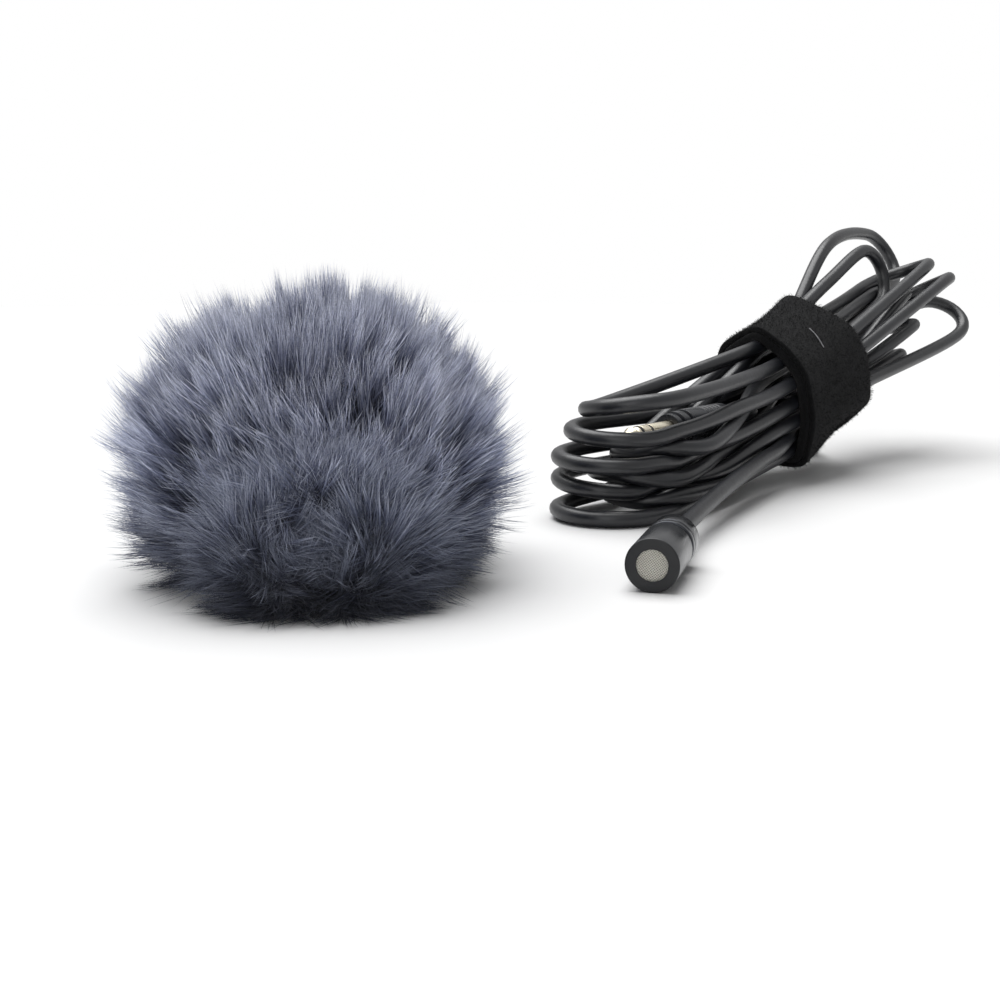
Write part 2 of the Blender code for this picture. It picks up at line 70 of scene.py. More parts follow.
# ---- mic head: on the table, its axis along +Y from the middle of its face ----
MIC_FOOT = np.array((40.85, -3.0, 0.0)) * MM
MIC_RADIUS = 4.15 * MM
MIC_AXIS = (0.0, 1.0, 0.0)
GRILLE_RADIUS = 2.62 * MM
GRILLE_DEPTH = 0.55 * MM  # behind the face
GRILLE_PITCH = 0.30 * MM
GRILLE_TILT = radians(38)
WIRE_RADIUS = 0.072 * MM
WIRE_SIDES = 6

# ---- cable ----
CORD_RADIUS = 1.5 * MM
STEP = 1.5 * MM  # between neighbouring points of the settled line
TOUCH = 3.12 * MM  # middle to middle of two runs that lie together
TIGHTEST_BEND = 8.0 * MM
SPLINE_POINTS = 24
SAME_RUN = 7  # points closer than this along the line never push each other
PAIR_MARGIN = 2 * MM  # how far beyond touching a search for neighbours looks
TABLE_GAP = 0.02 * MM
SETTLE_ROUNDS = 240
PAIR_ROUNDS = 10  # from one search for neighbours to the next
BEND_ROUNDS = 12  # from one opening of tight bends to the next
QUIET_ROUNDS = 20  # the last ones, without opening any bends
FIRST_BENDS, LATER_BENDS = 60, 6  # how often the bends are opened at the start, and each later time
BEND_SPREAD = 4  # how often an opening is spread to the points beside it
RUN_PUSH, PLUG_PUSH = 0.22, 0.5  # share of an overlap that is given way in one round
PLUG_POINTS = 14  # the last points, which run into the plug
TINY = 1e-9
# Points held at the mic and at the plug, and over how many more the line comes loose.
BENDING_ENDS = ((6, 2), (20, 3))
SHIFTING_ENDS = ((6, 3), (20, 12))

# The lead from the boot to the hank, in mm from the foot of the mic's face, as in the CAD.
LEAD_ROUTE = (
    (0.0, 28.3, 4.15),
    (0.2, 34.0, 4.3),
    (0.9, 42.0, 4.8),
    (1.9, 50.0, 5.4),
    (3.1, 58.0, 6.1),
    (4.5, 66.0, 6.8),
    (5.9, 74.0, 7.4),
    (7.4, 82.0, 8.0),
    (9.0, 89.0, 8.5),
)

# The tie's two rims, the same way, and where each run crosses the near one: (across, up) in mm.
TIE_NEAR = (2.5, 104.0, 15.5)
TIE_FAR = (12.5, 124.0, 21.5)
TIE_HALF_WIDTH = 8.6 * MM
TIE_HALF_HEIGHT = 12.4 * MM
RUNS_OUT = (
    (8.3, -6.0), (2.0, -9.8), (9.0, -2.6), (9.2, 1.2), (9.0, 5.2), (6.6, 9.6), (1.7, 5.0), (5.4, -8.8),
    (4.2, -4.2),
)
RUNS_BACK = (
    (-3.0, -9.4), (-6.5, -6.8), (-8.0, -3.4), (-8.4, 0.4), (1.0, 12.8), (-5.8, 8.4), (-1.9, 8.2),
    (-2.2, -4.6), (-1.2, 1.0),
)

# The tie: a napped strap drawn tight round the runs. Angles start on its right side and go over the top.
TIE_MIDDLE = (9.2, 117.6, 18.8)
TIE_WIDTH = 25.0 * MM
TIE_SLANT = -2.0 * MM  # its right side is drawn nearer to the mic
TIE_THICKNESS = 1.8 * MM
TAB_THICKNESS = 1.3 * MM
TAB_START = radians(-95)
TAB_END = radians(152)
TAB_SHIFT = 0.4 * MM
TAB_LIFT = 0.9 * MM  # how far the tab's far end stands off
LIFTED_FROM = 0.82  # share of the way along it where that starts
TIE_SEGMENTS = 180
WRAP_FANS = 240
WRAP_GAP = 0.12 * MM
BUNDLE_REACH = 20 * MM
STRAP_EDGE = 0.55 * MM
STRAP_STEP = 1.5 * MM
STRAP_WANDER = 0.12 * MM
STRAP_FIBRES = 11000
TAB_FIBRES = 21000
NAP_EDGE_SHARE = 0.16
NAP_LENGTH = (0.20, 0.75)
NAP_WIDTH = 0.060 * MM
NAP_STEPS = (0.0, 0.35, 0.7, 1.0)

# The hank's turns, in mm from the foot of the mic's face:
# middle of the turn (x, y, z), radius, then roll, heading and rise in degrees.
NEAR_TURNS = (
    (-17.5, 56.0, 1.5, 9.8, 2.0, 24.0, 0.0),
    (-18.0, 58.0, 7.0, 9.4, 3.0, 24.0, 0.0),
    (-17.5, 57.0, 10.8, 9.8, 4.0, 24.0, 0.0),
    (-16.0, 58.5, 15.4, 9.4, 5.0, 24.0, 0.0),
    (-14.0, 60.0, 21.0, 9.0, -9.0, 24.0, 0.0),
    (-9.5, 65.5, 11.2, 8.8, -4.0, 24.0, 0.0),
    (-11.0, 64.0, 4.6, 9.0, 0.0, 24.0, 0.0),
    (-13.0, 61.5, 8.0, 8.6, 0.0, 24.0, 0.0),
)
# The same for the far end, and how far the run back from each turn bows up.
FAR_TURNS = (
    (3.0, 148.0, 3.2, 8.4, 8.0, -8.0, 0.0, 0.0),
    (27.0, 160.0, 28.0, 7.5, -12.0, 24.0, 8.0, 0.0),
    (39.5, 174.0, 31.5, 7.0, 34.0, 27.0, 18.0, 0.0),
    (36.0, 171.0, 38.0, 6.8, -22.0, 27.0, 8.0, 0.0),
    (31.0, 172.0, 41.0, 6.8, -22.0, 24.0, 8.0, 0.0),
    (25.0, 185.0, 45.3, 6.6, 58.0, 18.0, 5.0, 9.0),
    (23.5, 163.0, 40.5, 6.8, 76.0, 22.0, 0.0, 1.0),
    (26.0, 162.0, 34.5, 6.8, -22.0, 25.0, 4.0, 0.0),
    (25.0, 157.0, 21.0, 7.0, -18.0, 24.0, 6.0, 0.0),
)

# ---- plug: distances from its shoulder towards the cable; the jack is on the minus side ----
PLUG_SHOULDER = MIC_FOOT + np.array((-9.4, 68.5, 15.0)) * MM
PLUG_HEADING = radians(24.8)
PLUG_AXIS = np.array((sin(PLUG_HEADING), cos(PLUG_HEADING), 0.0))
JACK_RADIUS = 1.75 * MM
JACK_LENGTH = 14.0 * MM
BARREL_RADIUS = 3.5 * MM
BARREL_LENGTH = 20.0 * MM
TAIL_LENGTH = 5.0 * MM
TAIL_RADIUS = 2.0 * MM
PLUG_GAP = 0.15 * MM

# ---- windscreen: a backing cloth around a pocket for the mic, with a long pile ----
# It is laid out with its mouth towards -Y and then turned about its own middle, as the CAD's pocket is.
WINDSCREEN_X = -13.0 * MM
POCKET_TURN = radians(23)
POCKET_HEIGHT = 8.5 * MM
FUR_MIDDLE = np.array((-13.0, 0.0, 14.0)) * MM
FUR_PARTING = np.array((-12.0, -27.0, 2.5)) * MM
MOUTH_FRINGE = -18.0 * MM  # in front of this the pile is short and untidy
# Backing: (along Y, middle height, half width, half height) in mm, from the mouth to the closed back.
BACKING_STATIONS = (
    (-25.2, 8.5, 5.7, 5.7),
    (-23.6, 9.2, 8.0, 6.7),
    (-20.0, 12.0, 13.0, 9.3),
    (-15.0, 15.6, 16.8, 12.4),
    (-8.0, 17.4, 18.3, 14.2),
    (0.0, 17.9, 18.7, 14.7),
    (7.0, 17.9, 17.7, 14.0),
    (12.5, 17.7, 14.4, 11.4),
    (16.2, 17.5, 9.8, 7.8),
    (18.2, 17.4, 4.8, 3.8),
    (18.8, 17.4, 0.2, 0.2),
)
BACKING_START, BACKING_END = BACKING_STATIONS[0][0] * MM, BACKING_STATIONS[-1][0] * MM
BACKING_ROWS = 64
BACKING_SEGMENTS = 96
BACKING_THICKNESS = 0.045  # as a share of the way to its middle
TUFTS = 260
LOCKS = 4400
FRINGE_LOCKS = 1050  # these grow from the rim of the mouth and close over it
CROSSING_SHARE = 0.30  # of the fringe, lying right across the mouth
SPILLING_SHARE = 0.24  # of the fringe, short and lying every way on the table in front
FRINGE_PAINTED_SHADE = 0.50  # painted shade: the fringe hair round the mouth is coloured darker
HAIRS_PER_LOCK = 28
HAIR_LENGTH = 15.8 * MM
HAIR_WIDTH = 0.105 * MM
HAIR_STEPS = 7
GUIDE_STEPS = 14
LOCK_SPREAD = 0.80 * MM
GUARD_SHARE = 0.14  # thicker, paler hairs among the fine ones
STRAY_SHARE = 0.035
PILE_LIFT = radians(46)  # from the cloth
ROOT_RISE = radians(14)  # how much steeper it is at the root
LEANING = 0.30  # how much of the lift is lost towards the tip
UPWARD = 0.42  # how far the pile of the upper half is brushed upwards
SAG = 0.06
UPPER_PILE, UPPER_BLEND = 8 * MM, 10 * MM  # the height where it starts, and over which it grows
LOWER_PILE, LOWER_BLEND = 9 * MM, 6 * MM  # the same downwards for the pile pressed on the table
MOUTH_BLEND = 5 * MM
GATHER_HEIGHT = 14 * MM  # where the locks of a tuft draw together
GATHER_LOOSENESS = 3.2
HAIR_WAVE = 0.50 * MM
HAIR_FLOOR = 0.35 * MM
FRINGE_ROOTS = (-25.1, -22.4)  # along Y, in mm, as are the lengths of the fringe
LOW_FRINGE, HIGH_FRINGE, SPILLING_FRINGE = (11, 18), (8, 13), (8, 17)
SPILLING_FAN = radians(80)  # to either side
FUR_PIECES = 9


# ---- geometry helpers ----
def unit(v):
    return v / np.linalg.norm(v)


def place(point):
    """A point given in mm from the foot of the mic's face."""
    return MIC_FOOT + np.array(point, float) * MM


def units(v, least=0.0):
    """Vectors along the last axis brought to length one."""
    return v / (np.linalg.norm(v, axis=-1, keepdims=True) + least)


def smoothed(v):
    """One step of smoothing along the first axis, all but the two ends."""
    v[1:-1] = (v[:-2] + 2 * v[1:-1] + v[2:]) / 4


def round_angles(count):
    """Evenly spread angles of one full turn."""
    return np.linspace(0, 2 * pi, count, endpoint=False)


def added(name, data):
    """A new object in the scene."""
    obj = bpy.data.objects.new(name, data)
    bpy.context.scene.collection.objects.link(obj)
    return obj


def mesh_piece(name, vertices, faces, mat):
    """A smooth-shaded object from arrays of corners and faces."""
    mesh = bpy.data.meshes.new(name)
    mesh.from_pydata([tuple(v) for v in vertices], [], [tuple(int(i) for i in f) for f in faces])
    mesh.update()
    mesh.polygons.foreach_set("use_smooth", [True] * len(mesh.polygons))
    mesh.materials.append(mat)
    return added(name, mesh)


def belongs(obj, body, slot, *nodes):
    """The piece rides on its body and stands for CAD nodes, which are hidden; the slot is not used."""
    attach(obj, body)
    if nodes:
        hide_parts(*nodes)
    return obj


def scaled(profile):
    """A profile written in mm, in metres."""
    return [tuple(value * MM for value in corner) for corner in profile]


def rounded(profile, bevel, steps=3):
    """The profile's corners as small arcs; a corner is (along, radius) or (along, radius, own bevel)."""
    corners = [np.array(p[:2]) for p in profile]
    sizes = [p[2] if len(p) > 2 else bevel for p in profile]
    out = []
    for i, (corner, size) in enumerate(zip(corners, sizes)):
        before = corners[i - 1] - corner
        after = corners[(i + 1) % len(corners)] - corner
        reach = min(size, 0.45 * np.linalg.norm(before), 0.45 * np.linalg.norm(after))
        if reach <= 0 or corner[1] <= 0:
            out.append(corner)
            continue
        a = corner + unit(before) * reach
        b = corner + unit(after) * reach
        for t in np.arange(steps + 1) / steps:
            out.append((1 - t) ** 2 * a + 2 * t * (1 - t) * corner + t * t * b)
    return out


def turned(name, profile, origin, axis, slot, node, bevel=0.08, segments=96):
    """A piece of the mic or its cable: a closed profile of (along, radius) in mm, turned about an axis."""
    axis = unit(np.array(axis, float))
    side = unit(np.cross(axis, UP))
    lift = np.cross(side, axis)
    vertices, rings = [], []
    for along, radius in rounded(scaled(profile), bevel * MM):
        centre = origin + axis * along
        if radius <= 1e-9:
            rings.append([len(vertices)] * segments)
            vertices.append(centre)
            continue
        rings.append(list(range(len(vertices), len(vertices) + segments)))
        for k in range(segments):
            angle = 2 * pi * k / segments
            vertices.append(centre + (side * cos(angle) + lift * sin(angle)) * radius)
    faces = []
    for i, a in enumerate(rings):
        b = rings[(i + 1) % len(rings)]
        for k in range(segments):
            m = (k + 1) % segments
            corners = list(dict.fromkeys((a[k], a[m], b[m], b[k])))
            if len(corners) > 2:
                faces.append(corners)
    piece = mesh_piece(name, vertices, faces, MATERIALS[slot])
    piece.data.set_sharp_from_angle(angle=radians(38))
    return belongs(piece, "microphone", slot, node)


# ---- materials ----
class Nodes:
    """A Principled material with its node tree at hand."""

    def __init__(self, name, roughness, metallic=0.0):
        self.mat = bpy.data.materials.new(name)
        self.mat.use_nodes = True
        self.tree = self.mat.node_tree
        self.shader = self.tree.nodes["Principled BSDF"]
        self.fix("Roughness", roughness)
        self.fix("Metallic", metallic)
        self.coords = self.add("ShaderNodeTexCoord").outputs["Object"]

    def add(self, kind, **values):
        node = self.tree.nodes.new(kind)
        for key, value in values.items():
            setattr(node, key, value)
        return node

    def link(self, a, b):
        self.tree.links.new(a, b)

    def fix(self, name, value):
        """The shader's input held at one value."""
        self.shader.inputs[name].default_value = value

    def noise(self, scale, detail=3.0, roughness=0.55, stretch=None):
        node = self.add("ShaderNodeTexNoise")
        node.inputs["Scale"].default_value = scale
        node.inputs["Detail"].default_value = detail
        node.inputs["Roughness"].default_value = roughness
        source = self.coords
        if stretch:
            mapping = self.add("ShaderNodeMapping")
            mapping.inputs["Scale"].default_value = stretch
            self.link(source, mapping.inputs["Vector"])
            source = mapping.outputs["Vector"]
        self.link(source, node.inputs["Vector"])
        return node.outputs["Fac"]

    def ramp(self, fac, stops):
        node = self.add("ShaderNodeValToRGB")
        elements = node.color_ramp.elements
        while len(elements) < len(stops):
            elements.new(0.5)
        for element, (position, color) in zip(elements, stops):
            element.position = position
            element.color = (*color, 1.0)
        self.link(fac, node.inputs["Fac"])
        return node.outputs["Color"]

    def rescaled(self, fac, start, end, low, high):
        """The value start..end brought to low..high."""
        node = self.add("ShaderNodeMapRange")
        for name, value in (("From Min", start), ("From Max", end), ("To Min", low), ("To Max", high)):
            node.inputs[name].default_value = value
        self.link(fac, node.inputs["Value"])
        return node.outputs["Result"]

    def spread(self, fac, low, high):
        """The middle of a noise brought to low..high."""
        return self.rescaled(fac, 0.3, 0.7, low, high)

    def position(self, axis, start, end):
        """0..1 along one axis, from start to end."""
        parts = self.add("ShaderNodeSeparateXYZ")
        self.link(self.coords, parts.inputs["Vector"])
        return self.rescaled(parts.outputs[axis], start, end, 0.0, 1.0)

    def product(self, a, b):
        """Two colours multiplied."""
        node = self.add("ShaderNodeMix", data_type="RGBA", blend_type="MULTIPLY")
        node.inputs["Factor"].default_value = 1.0
        self.link(a, node.inputs["A"])
        self.link(b, node.inputs["B"])
        return node.outputs["Result"]

    def bump(self, height, distance):
        node = self.add("ShaderNodeBump")
        node.inputs["Distance"].default_value = distance
        node.inputs["Strength"].default_value = 1.0
        self.link(height, node.inputs["Height"])
        self.link(node.outputs["Normal"], self.shader.inputs["Normal"])

    def color(self, source):
        self.link(source, self.shader.inputs["Base Color"])

    def tint(self, fac, low, high, span=(0.3, 0.7)):
        """The base colour from low to high over the span of a noise."""
        self.color(self.ramp(fac, ((span[0], low), (span[1], high))))

    def roughness(self, source):
        self.link(source, self.shader.inputs["Roughness"])


def anodised_metal():
    """Black anodised aluminium: satin on the barrel, blasted matt on the face, with faint handling marks."""
    m = Nodes("anodised_black", 0.30, 0.25)
    m.fix("Specular IOR Level", 0.62)
    behind = m.position("Y", MIC_FOOT[1] + 0.02 * MM, MIC_FOOT[1] + 0.30 * MM)
    marks = m.noise(260.0, 4.0)
    own = m.ramp(marks, ((0.3, (0.018, 0.020, 0.024)), (0.75, (0.034, 0.036, 0.042))))
    m.color(m.product(own, m.ramp(behind, ((0.0, (0.22, 0.22, 0.24)), (1.0, (1.0, 1.0, 1.0))))))
    wear = m.add("ShaderNodeMath", operation="MULTIPLY")
    m.link(m.spread(behind, 0.52, 0.21), wear.inputs[0])
    m.link(m.spread(marks, 0.90, 1.20), wear.inputs[1])
    m.roughness(wear.outputs["Value"])
    m.bump(m.noise(9000.0, 2.0), 0.000003)
    return m.mat


def polished_black():
    """Glossy dark plated collar with hairline turning marks."""
    m = Nodes("polished_collar", 0.16, 0.75)
    smudge = m.noise(350.0, 3.0)
    m.tint(smudge, (0.030, 0.032, 0.038), (0.055, 0.058, 0.066), (0.3, 0.75))
    m.roughness(m.spread(smudge, 0.12, 0.24))
    m.bump(m.noise(3200.0, 2.0, stretch=(0.02, 1.0, 0.02)), 0.000003)
    return m.mat


def grained(name, roughness, scale, detail, low, high, depth, metallic=0.0, span=(0.3, 0.7)):
    """A finish with one fine grain, which tints it and stands a little proud."""
    m = Nodes(name, roughness, metallic)
    grain = m.noise(scale, detail)
    m.tint(grain, low, high, span)
    m.bump(grain, depth)
    return m.mat


def plain_metal(name, low, high, roughness):
    """Bare or plated metal, a little uneven."""
    m = Nodes(name, roughness, 1.0)
    tone = m.noise(900.0, 4.0)
    m.tint(tone, low, high)
    m.roughness(m.spread(tone, roughness * 0.8, roughness * 1.25))
    m.bump(m.noise(6000.0, 2.0), 0.000003)
    return m.mat


def moulded(name, low, high, roughness, grain=3500.0, depth=0.000008):
    """A moulded plastic or rubber with a fine skin."""
    m = Nodes(name, roughness)
    tone = m.noise(420.0, 4.0)
    m.tint(tone, low, high)
    m.roughness(m.spread(tone, roughness * 0.88, roughness * 1.12))
    m.bump(m.noise(grain, 3.0), depth)
    return m.mat


def cord_jacket():
    """Soft satin PVC jacket: nearly black, with a faint bloom and slight dents along its length."""
    m = Nodes("cord_jacket", 0.38)
    skin = m.noise(1500.0, 4.0)
    m.tint(m.noise(120.0, 5.0), (0.0058, 0.0064, 0.0086), (0.0135, 0.0147, 0.0190), (0.3, 0.72))
    m.roughness(m.spread(skin, 0.31, 0.41))
    m.bump(skin, 0.000018)
    m.fix("Specular IOR Level", 0.62)
    return m.mat


def hook_and_loop():
    """Black napped pile."""
    m = Nodes("hook_and_loop", 0.92)
    m.tint(m.noise(190.0, 4.0), (0.0028, 0.0029, 0.0034), (0.0062, 0.0064, 0.0074), (0.3, 0.75))
    m.bump(m.noise(1400.0, 6.0, 0.7), 0.00022)
    m.fix("Specular IOR Level", 0.12)
    m.fix("Sheen Weight", 0.05)
    m.fix("Sheen Roughness", 0.6)
    return m.mat


def faux_fur():
    """Long acrylic pile: slate roots, lavender-grey tips, uneven from hair to hair, with painted shade that
    makes it darker near the table.
    """
    m = Nodes("faux_fur", 0.62)
    layer = m.add("ShaderNodeUVMap")
    layer.uv_map = "OFBake"
    parts = m.add("ShaderNodeSeparateXYZ")
    m.link(layer.outputs["UV"], parts.inputs["Vector"])
    tone = m.ramp(parts.outputs["Y"], (
        (0.00, (0.018, 0.020, 0.031)), (0.42, (0.060, 0.067, 0.101)),
        (0.74, (0.255, 0.280, 0.395)), (1.00, (0.850, 0.885, 1.000)),
    ))
    own = m.ramp(parts.outputs["X"], ((0.0, (0.56, 0.57, 0.60)), (1.0, (1.58, 1.56, 1.53))))
    patch = m.ramp(m.noise(95.0, 3.0), ((0.30, (0.84, 0.84, 0.86)), (0.70, (1.0, 1.0, 1.0))))
    # painted shade: the pile's colour darkens towards the table, standing in for the shade under the ball
    painted_low_shade = m.ramp(m.position("Z", 1.0 * MM, 30.0 * MM), (
        (0.00, (0.125, 0.131, 0.146)), (0.28, (0.42, 0.44, 0.47)),
        (0.60, (0.90, 0.92, 0.95)), (1.00, (0.97, 0.97, 0.97)),
    ))
    m.color(m.product(m.product(m.product(tone, own), patch), painted_low_shade))
    m.roughness(m.spread(m.noise(700.0, 2.0), 0.52, 0.70))
    m.fix("Specular IOR Level", 0.30)
    m.fix("Sheen Weight", 0.15)
    return m.mat


def knit():
    """Dark knitted cloth with fine ribs."""
    m = Nodes("knit", 0.9)
    ribs = m.noise(2200.0, 3.0, stretch=(1.0, 0.25, 1.0))
    m.tint(ribs, (0.020, 0.021, 0.026), (0.050, 0.052, 0.062))
    m.bump(ribs, 0.00012)
    m.fix("Sheen Weight", 0.2)
    return m.mat


MATERIALS = {
    "anodised": anodised_metal(),
    "polished_collar": polished_black(),
    "cord_jacket": cord_jacket(),
    "hook_and_loop": hook_and_loop(),
    "faux_fur": faux_fur(),
    "knit": knit(),
}
for recipe, rows in (
    (grained, (
        ("wire_mesh", 0.42, 4000.0, 3.0, (0.74, 0.72, 0.65), (0.92, 0.90, 0.83), 0.000004, 0.15),
        ("felt", 0.95, 5200.0, 5.0, (0.16, 0.155, 0.14), (0.32, 0.31, 0.285), 0.00003),
        ("board", 0.45, 2600.0, 2.0, (0.012, 0.055, 0.024), (0.020, 0.085, 0.038), 0.000008, 0.0,
         (0.35, 0.65)),
        ("elastic", 0.85, 3000.0, 2.0, (0.010, 0.010, 0.012), (0.030, 0.030, 0.034), 0.00008),
    )),
    (plain_metal, (
        ("capsule_metal", (0.50, 0.50, 0.50), (0.70, 0.70, 0.69), 0.32),
        ("gold_plate", (0.86, 0.78, 0.60), (0.95, 0.89, 0.74), 0.30),
        ("copper", (0.62, 0.30, 0.17), (0.80, 0.42, 0.26), 0.34),
    )),
    (moulded, (
        ("black_plastic", (0.012, 0.012, 0.014), (0.024, 0.024, 0.027), 0.45),
        ("black_rubber", (0.011, 0.012, 0.014), (0.024, 0.025, 0.029), 0.55, 1800.0, 0.00002),
        ("red_insulation", (0.30, 0.015, 0.012), (0.42, 0.025, 0.02), 0.40),
        ("lint", (0.16, 0.16, 0.17), (0.30, 0.30, 0.31), 0.8, 5000.0, 0.00002),
        ("plug_moulding", (0.016, 0.017, 0.021), (0.032, 0.034, 0.040), 0.28, 2600.0, 0.00001),
    )),
):
    for row in rows:
        MATERIALS[row[0]] = recipe(*row)


# ---- camera, light and table ----
def add_camera():
    data = bpy.data.cameras.new("camera")
    data.sensor_width = 36.0
    data.lens = data.sensor_width / 2 / tan(CAMERA_VIEW / 2)
    data.clip_start = 0.01
    data.clip_end = 20.0
    camera = added("camera", data)
    camera.location = CAMERA_PLACE
    level = cos(CAMERA_PITCH)
    look = Vector((sin(CAMERA_HEADING) * level, cos(CAMERA_HEADING) * level, sin(CAMERA_PITCH)))
    camera.rotation_euler = look.to_track_quat("-Z", "Y").to_euler()
    bpy.context.scene.camera = camera


def add_light(name, kind, energy, location, towards):
    data = bpy.data.lights.new(name, kind)
    data.energy = energy
    lamp = added(name, data)
    lamp.location = location
    lamp.rotation_euler = Vector(towards).to_track_quat("-Z", "Y").to_euler()
    return data


def add_sky_panel():
    """One very broad soft light overhead, a little behind and to the left."""
    add_light("overhead_softbox", "SUN", SKY_LIGHT, (0.0, 0.0, 0.5), SKY_TOWARDS).angle = radians(SKY_SPREAD)


def add_front_card():
    """A weak, broad reflector in front that opens up the faces turned to the camera."""
    data = add_light("front_card", "AREA", FRONT_LIGHT, CARD_PLACE, CARD_AIM - CARD_PLACE)
    data.shape = "DISK"
    data.size = CARD_SIZE


def add_table():
    """A flat white table top that reaches far past the object on every side."""
    m = Nodes("white_table", 0.55)
    m.tint(m.noise(35.0, 3.0), (0.868, 0.868, 0.868), (0.880, 0.880, 0.880))
    m.fix("Specular IOR Level", 0.25)
    turns = [2 * pi * s / TABLE_SEGMENTS for s in range(TABLE_SEGMENTS)]
    vertices = [(0.0, 0.0, 0.0)]
    for k in range(TABLE_RINGS):
        radius = TABLE_FIRST_RING * TABLE_GROWTH ** k
        vertices += [(radius * cos(angle), radius * sin(angle), 0.0) for angle in turns]
    faces = []
    for s in range(TABLE_SEGMENTS):
        after = (s + 1) % TABLE_SEGMENTS
        faces.append((0, 1 + s, 1 + after))
        for first in range(1, 1 + (TABLE_RINGS - 1) * TABLE_SEGMENTS, TABLE_SEGMENTS):
            outer = first + TABLE_SEGMENTS
            faces.append((first + s, outer + s, outer + after, first + after))
    mesh_piece("table", vertices, faces, m.mat)


def set_world():
    """A soft white fill; the camera sees pure white, and shiny surfaces mirror something in between."""
    world = bpy.data.worlds.new("studio")
    bpy.context.scene.world = world
    world.use_nodes = True
    tree = world.node_tree
    fill = tree.nodes["Background"]
    backdrop = tree.nodes.new("ShaderNodeBackground")
    for node, strength in ((fill, FILL_LIGHT), (backdrop, 1.0)):
        node.inputs["Color"].default_value = (1.0, 1.0, 1.0, 1.0)
        node.inputs["Strength"].default_value = strength
    path = tree.nodes.new("ShaderNodeLightPath")
    white = tree.nodes.new("ShaderNodeMath")
    white.operation = "MULTIPLY_ADD"
    white.inputs[1].default_value = MIRRORED_BACKDROP
    mix = tree.nodes.new("ShaderNodeMixShader")
    for start, end in (
        (path.outputs["Is Glossy Ray"], white.inputs[0]), (path.outputs["Is Camera Ray"], white.inputs[2]),
        (white.outputs["Value"], mix.inputs["Fac"]), (fill.outputs["Background"], mix.inputs[1]),
        (backdrop.outputs["Background"], mix.inputs[2]),
        (mix.outputs["Shader"], tree.nodes["World Output"].inputs["Surface"]),
    ):
        tree.links.new(start, end)


bpy.context.scene.view_settings.view_transform = "Standard"
add_camera()
set_world()
add_sky_panel()
add_front_card()
add_table()


# ---- the cable's line ----
TIE_START, TIE_END = place(TIE_NEAR), place(TIE_FAR)
TIE_AXIS = unit(TIE_END - TIE_START)
TIE_ACROSS = unit(np.cross(TIE_END - TIE_START, UP))
TIE_UP = np.cross(TIE_ACROSS, TIE_AXIS)
TIE_CENTRE = place(TIE_MIDDLE)


def near_slot(spot):
    """Where a run crosses the tie's near rim."""
    return TIE_START + (TIE_ACROSS * spot[0] + TIE_UP * spot[1]) * MM


def far_slot(spot, entry):
    """Where a straight run from its near slot to its turn crosses the far rim, kept inside the tie."""
    start = near_slot(spot)
    run = entry - start
    crossing = start + run * (np.dot(TIE_END - start, TIE_AXIS) / np.dot(run, TIE_AXIS)) - TIE_END
    t, h = np.dot(crossing, TIE_ACROSS), np.dot(crossing, TIE_UP)
    squeeze = max(1.0, sqrt((t / TIE_HALF_WIDTH) ** 2 + (h / TIE_HALF_HEIGHT) ** 2))
    return TIE_END + TIE_ACROSS * t / squeeze + TIE_UP * h / squeeze


def turn_points(turn, away):
    """Five points round a turn, from its right side to its left; away is 1 at the far end, -1 at the near."""
    x, y, z, radius, roll, heading, rise = turn[:7]
    h, q, k = radians(heading), radians(rise), radians(roll)
    along = np.array((sin(h) * cos(q), cos(h) * cos(q), sin(q))) * away
    side = np.array((cos(h), -sin(h), 0.0)) * cos(k) - UP * sin(k)
    middle = place((x, y, z))
    reach = radius * MM
    return [middle + along * reach * 1.1 * cos(t) + side * reach * sin(t)
            for t in np.linspace(pi / 2, -pi / 2, 5)]


def cord_route():
    """Lead, then out and back through the tie for each turn, and at last to the plug."""
    points = [place(p) for p in LEAD_ROUTE]
    for j, far_turn in enumerate(FAR_TURNS):
        turn = turn_points(far_turn, 1)
        points += [near_slot(RUNS_OUT[j]), far_slot(RUNS_OUT[j], turn[0])]
        points += turn
        back = far_slot(RUNS_BACK[j], turn[-1])
        bow = far_turn[7] * MM
        if bow:
            points.append((back + turn[-1]) / 2 + UP * bow)
        points += [back, near_slot(RUNS_BACK[j])]
        if j < len(NEAR_TURNS):
            points += turn_points(NEAR_TURNS[j], -1)[::-1]
    for distance in (BARREL_LENGTH + 11 * MM, BARREL_LENGTH + 8 * MM, BARREL_LENGTH + TAIL_LENGTH):
        points.append(PLUG_SHOULDER + PLUG_AXIS * distance)
    return np.array(points)


def respace(line, step):
    """The same line with evenly spaced points."""
    lengths = np.linalg.norm(np.diff(line, axis=0), axis=1)
    run = np.concatenate(((0.0,), np.cumsum(lengths)))
    places = np.linspace(0.0, run[-1], int(round(run[-1] / step)) + 1)
    return np.stack([np.interp(places, run, line[:, k]) for k in range(3)], axis=1)


def blended(points, knots, u, span):
    """One stage of the spline: neighbours mixed between knots that lie span apart."""
    pairs = zip(points[:-1], points[1:], knots, knots[span:])
    return [((last - u) * a + (u - first) * b) / (last - first) for a, b, first, last in pairs]


def smooth_line(points):
    """A centripetal spline through the route."""
    ends = np.vstack((2 * points[0] - points[1], points, 2 * points[-1] - points[-2]))
    pieces = []
    for i in range(1, len(ends) - 2):
        p = ends[i - 1:i + 3]
        knots = np.concatenate(((0.0,), np.cumsum(np.sqrt(np.linalg.norm(np.diff(p, axis=0), axis=1)))))
        u = np.linspace(knots[1], knots[2], SPLINE_POINTS, endpoint=False)[:, None]
        b = blended(blended(p, knots, u, 1), knots, u, 2)
        pieces.append(((knots[2] - u) * b[0] + (u - knots[1]) * b[1]) / (knots[2] - knots[1]))
    return respace(np.vstack(pieces + [points[-1:]]), STEP)


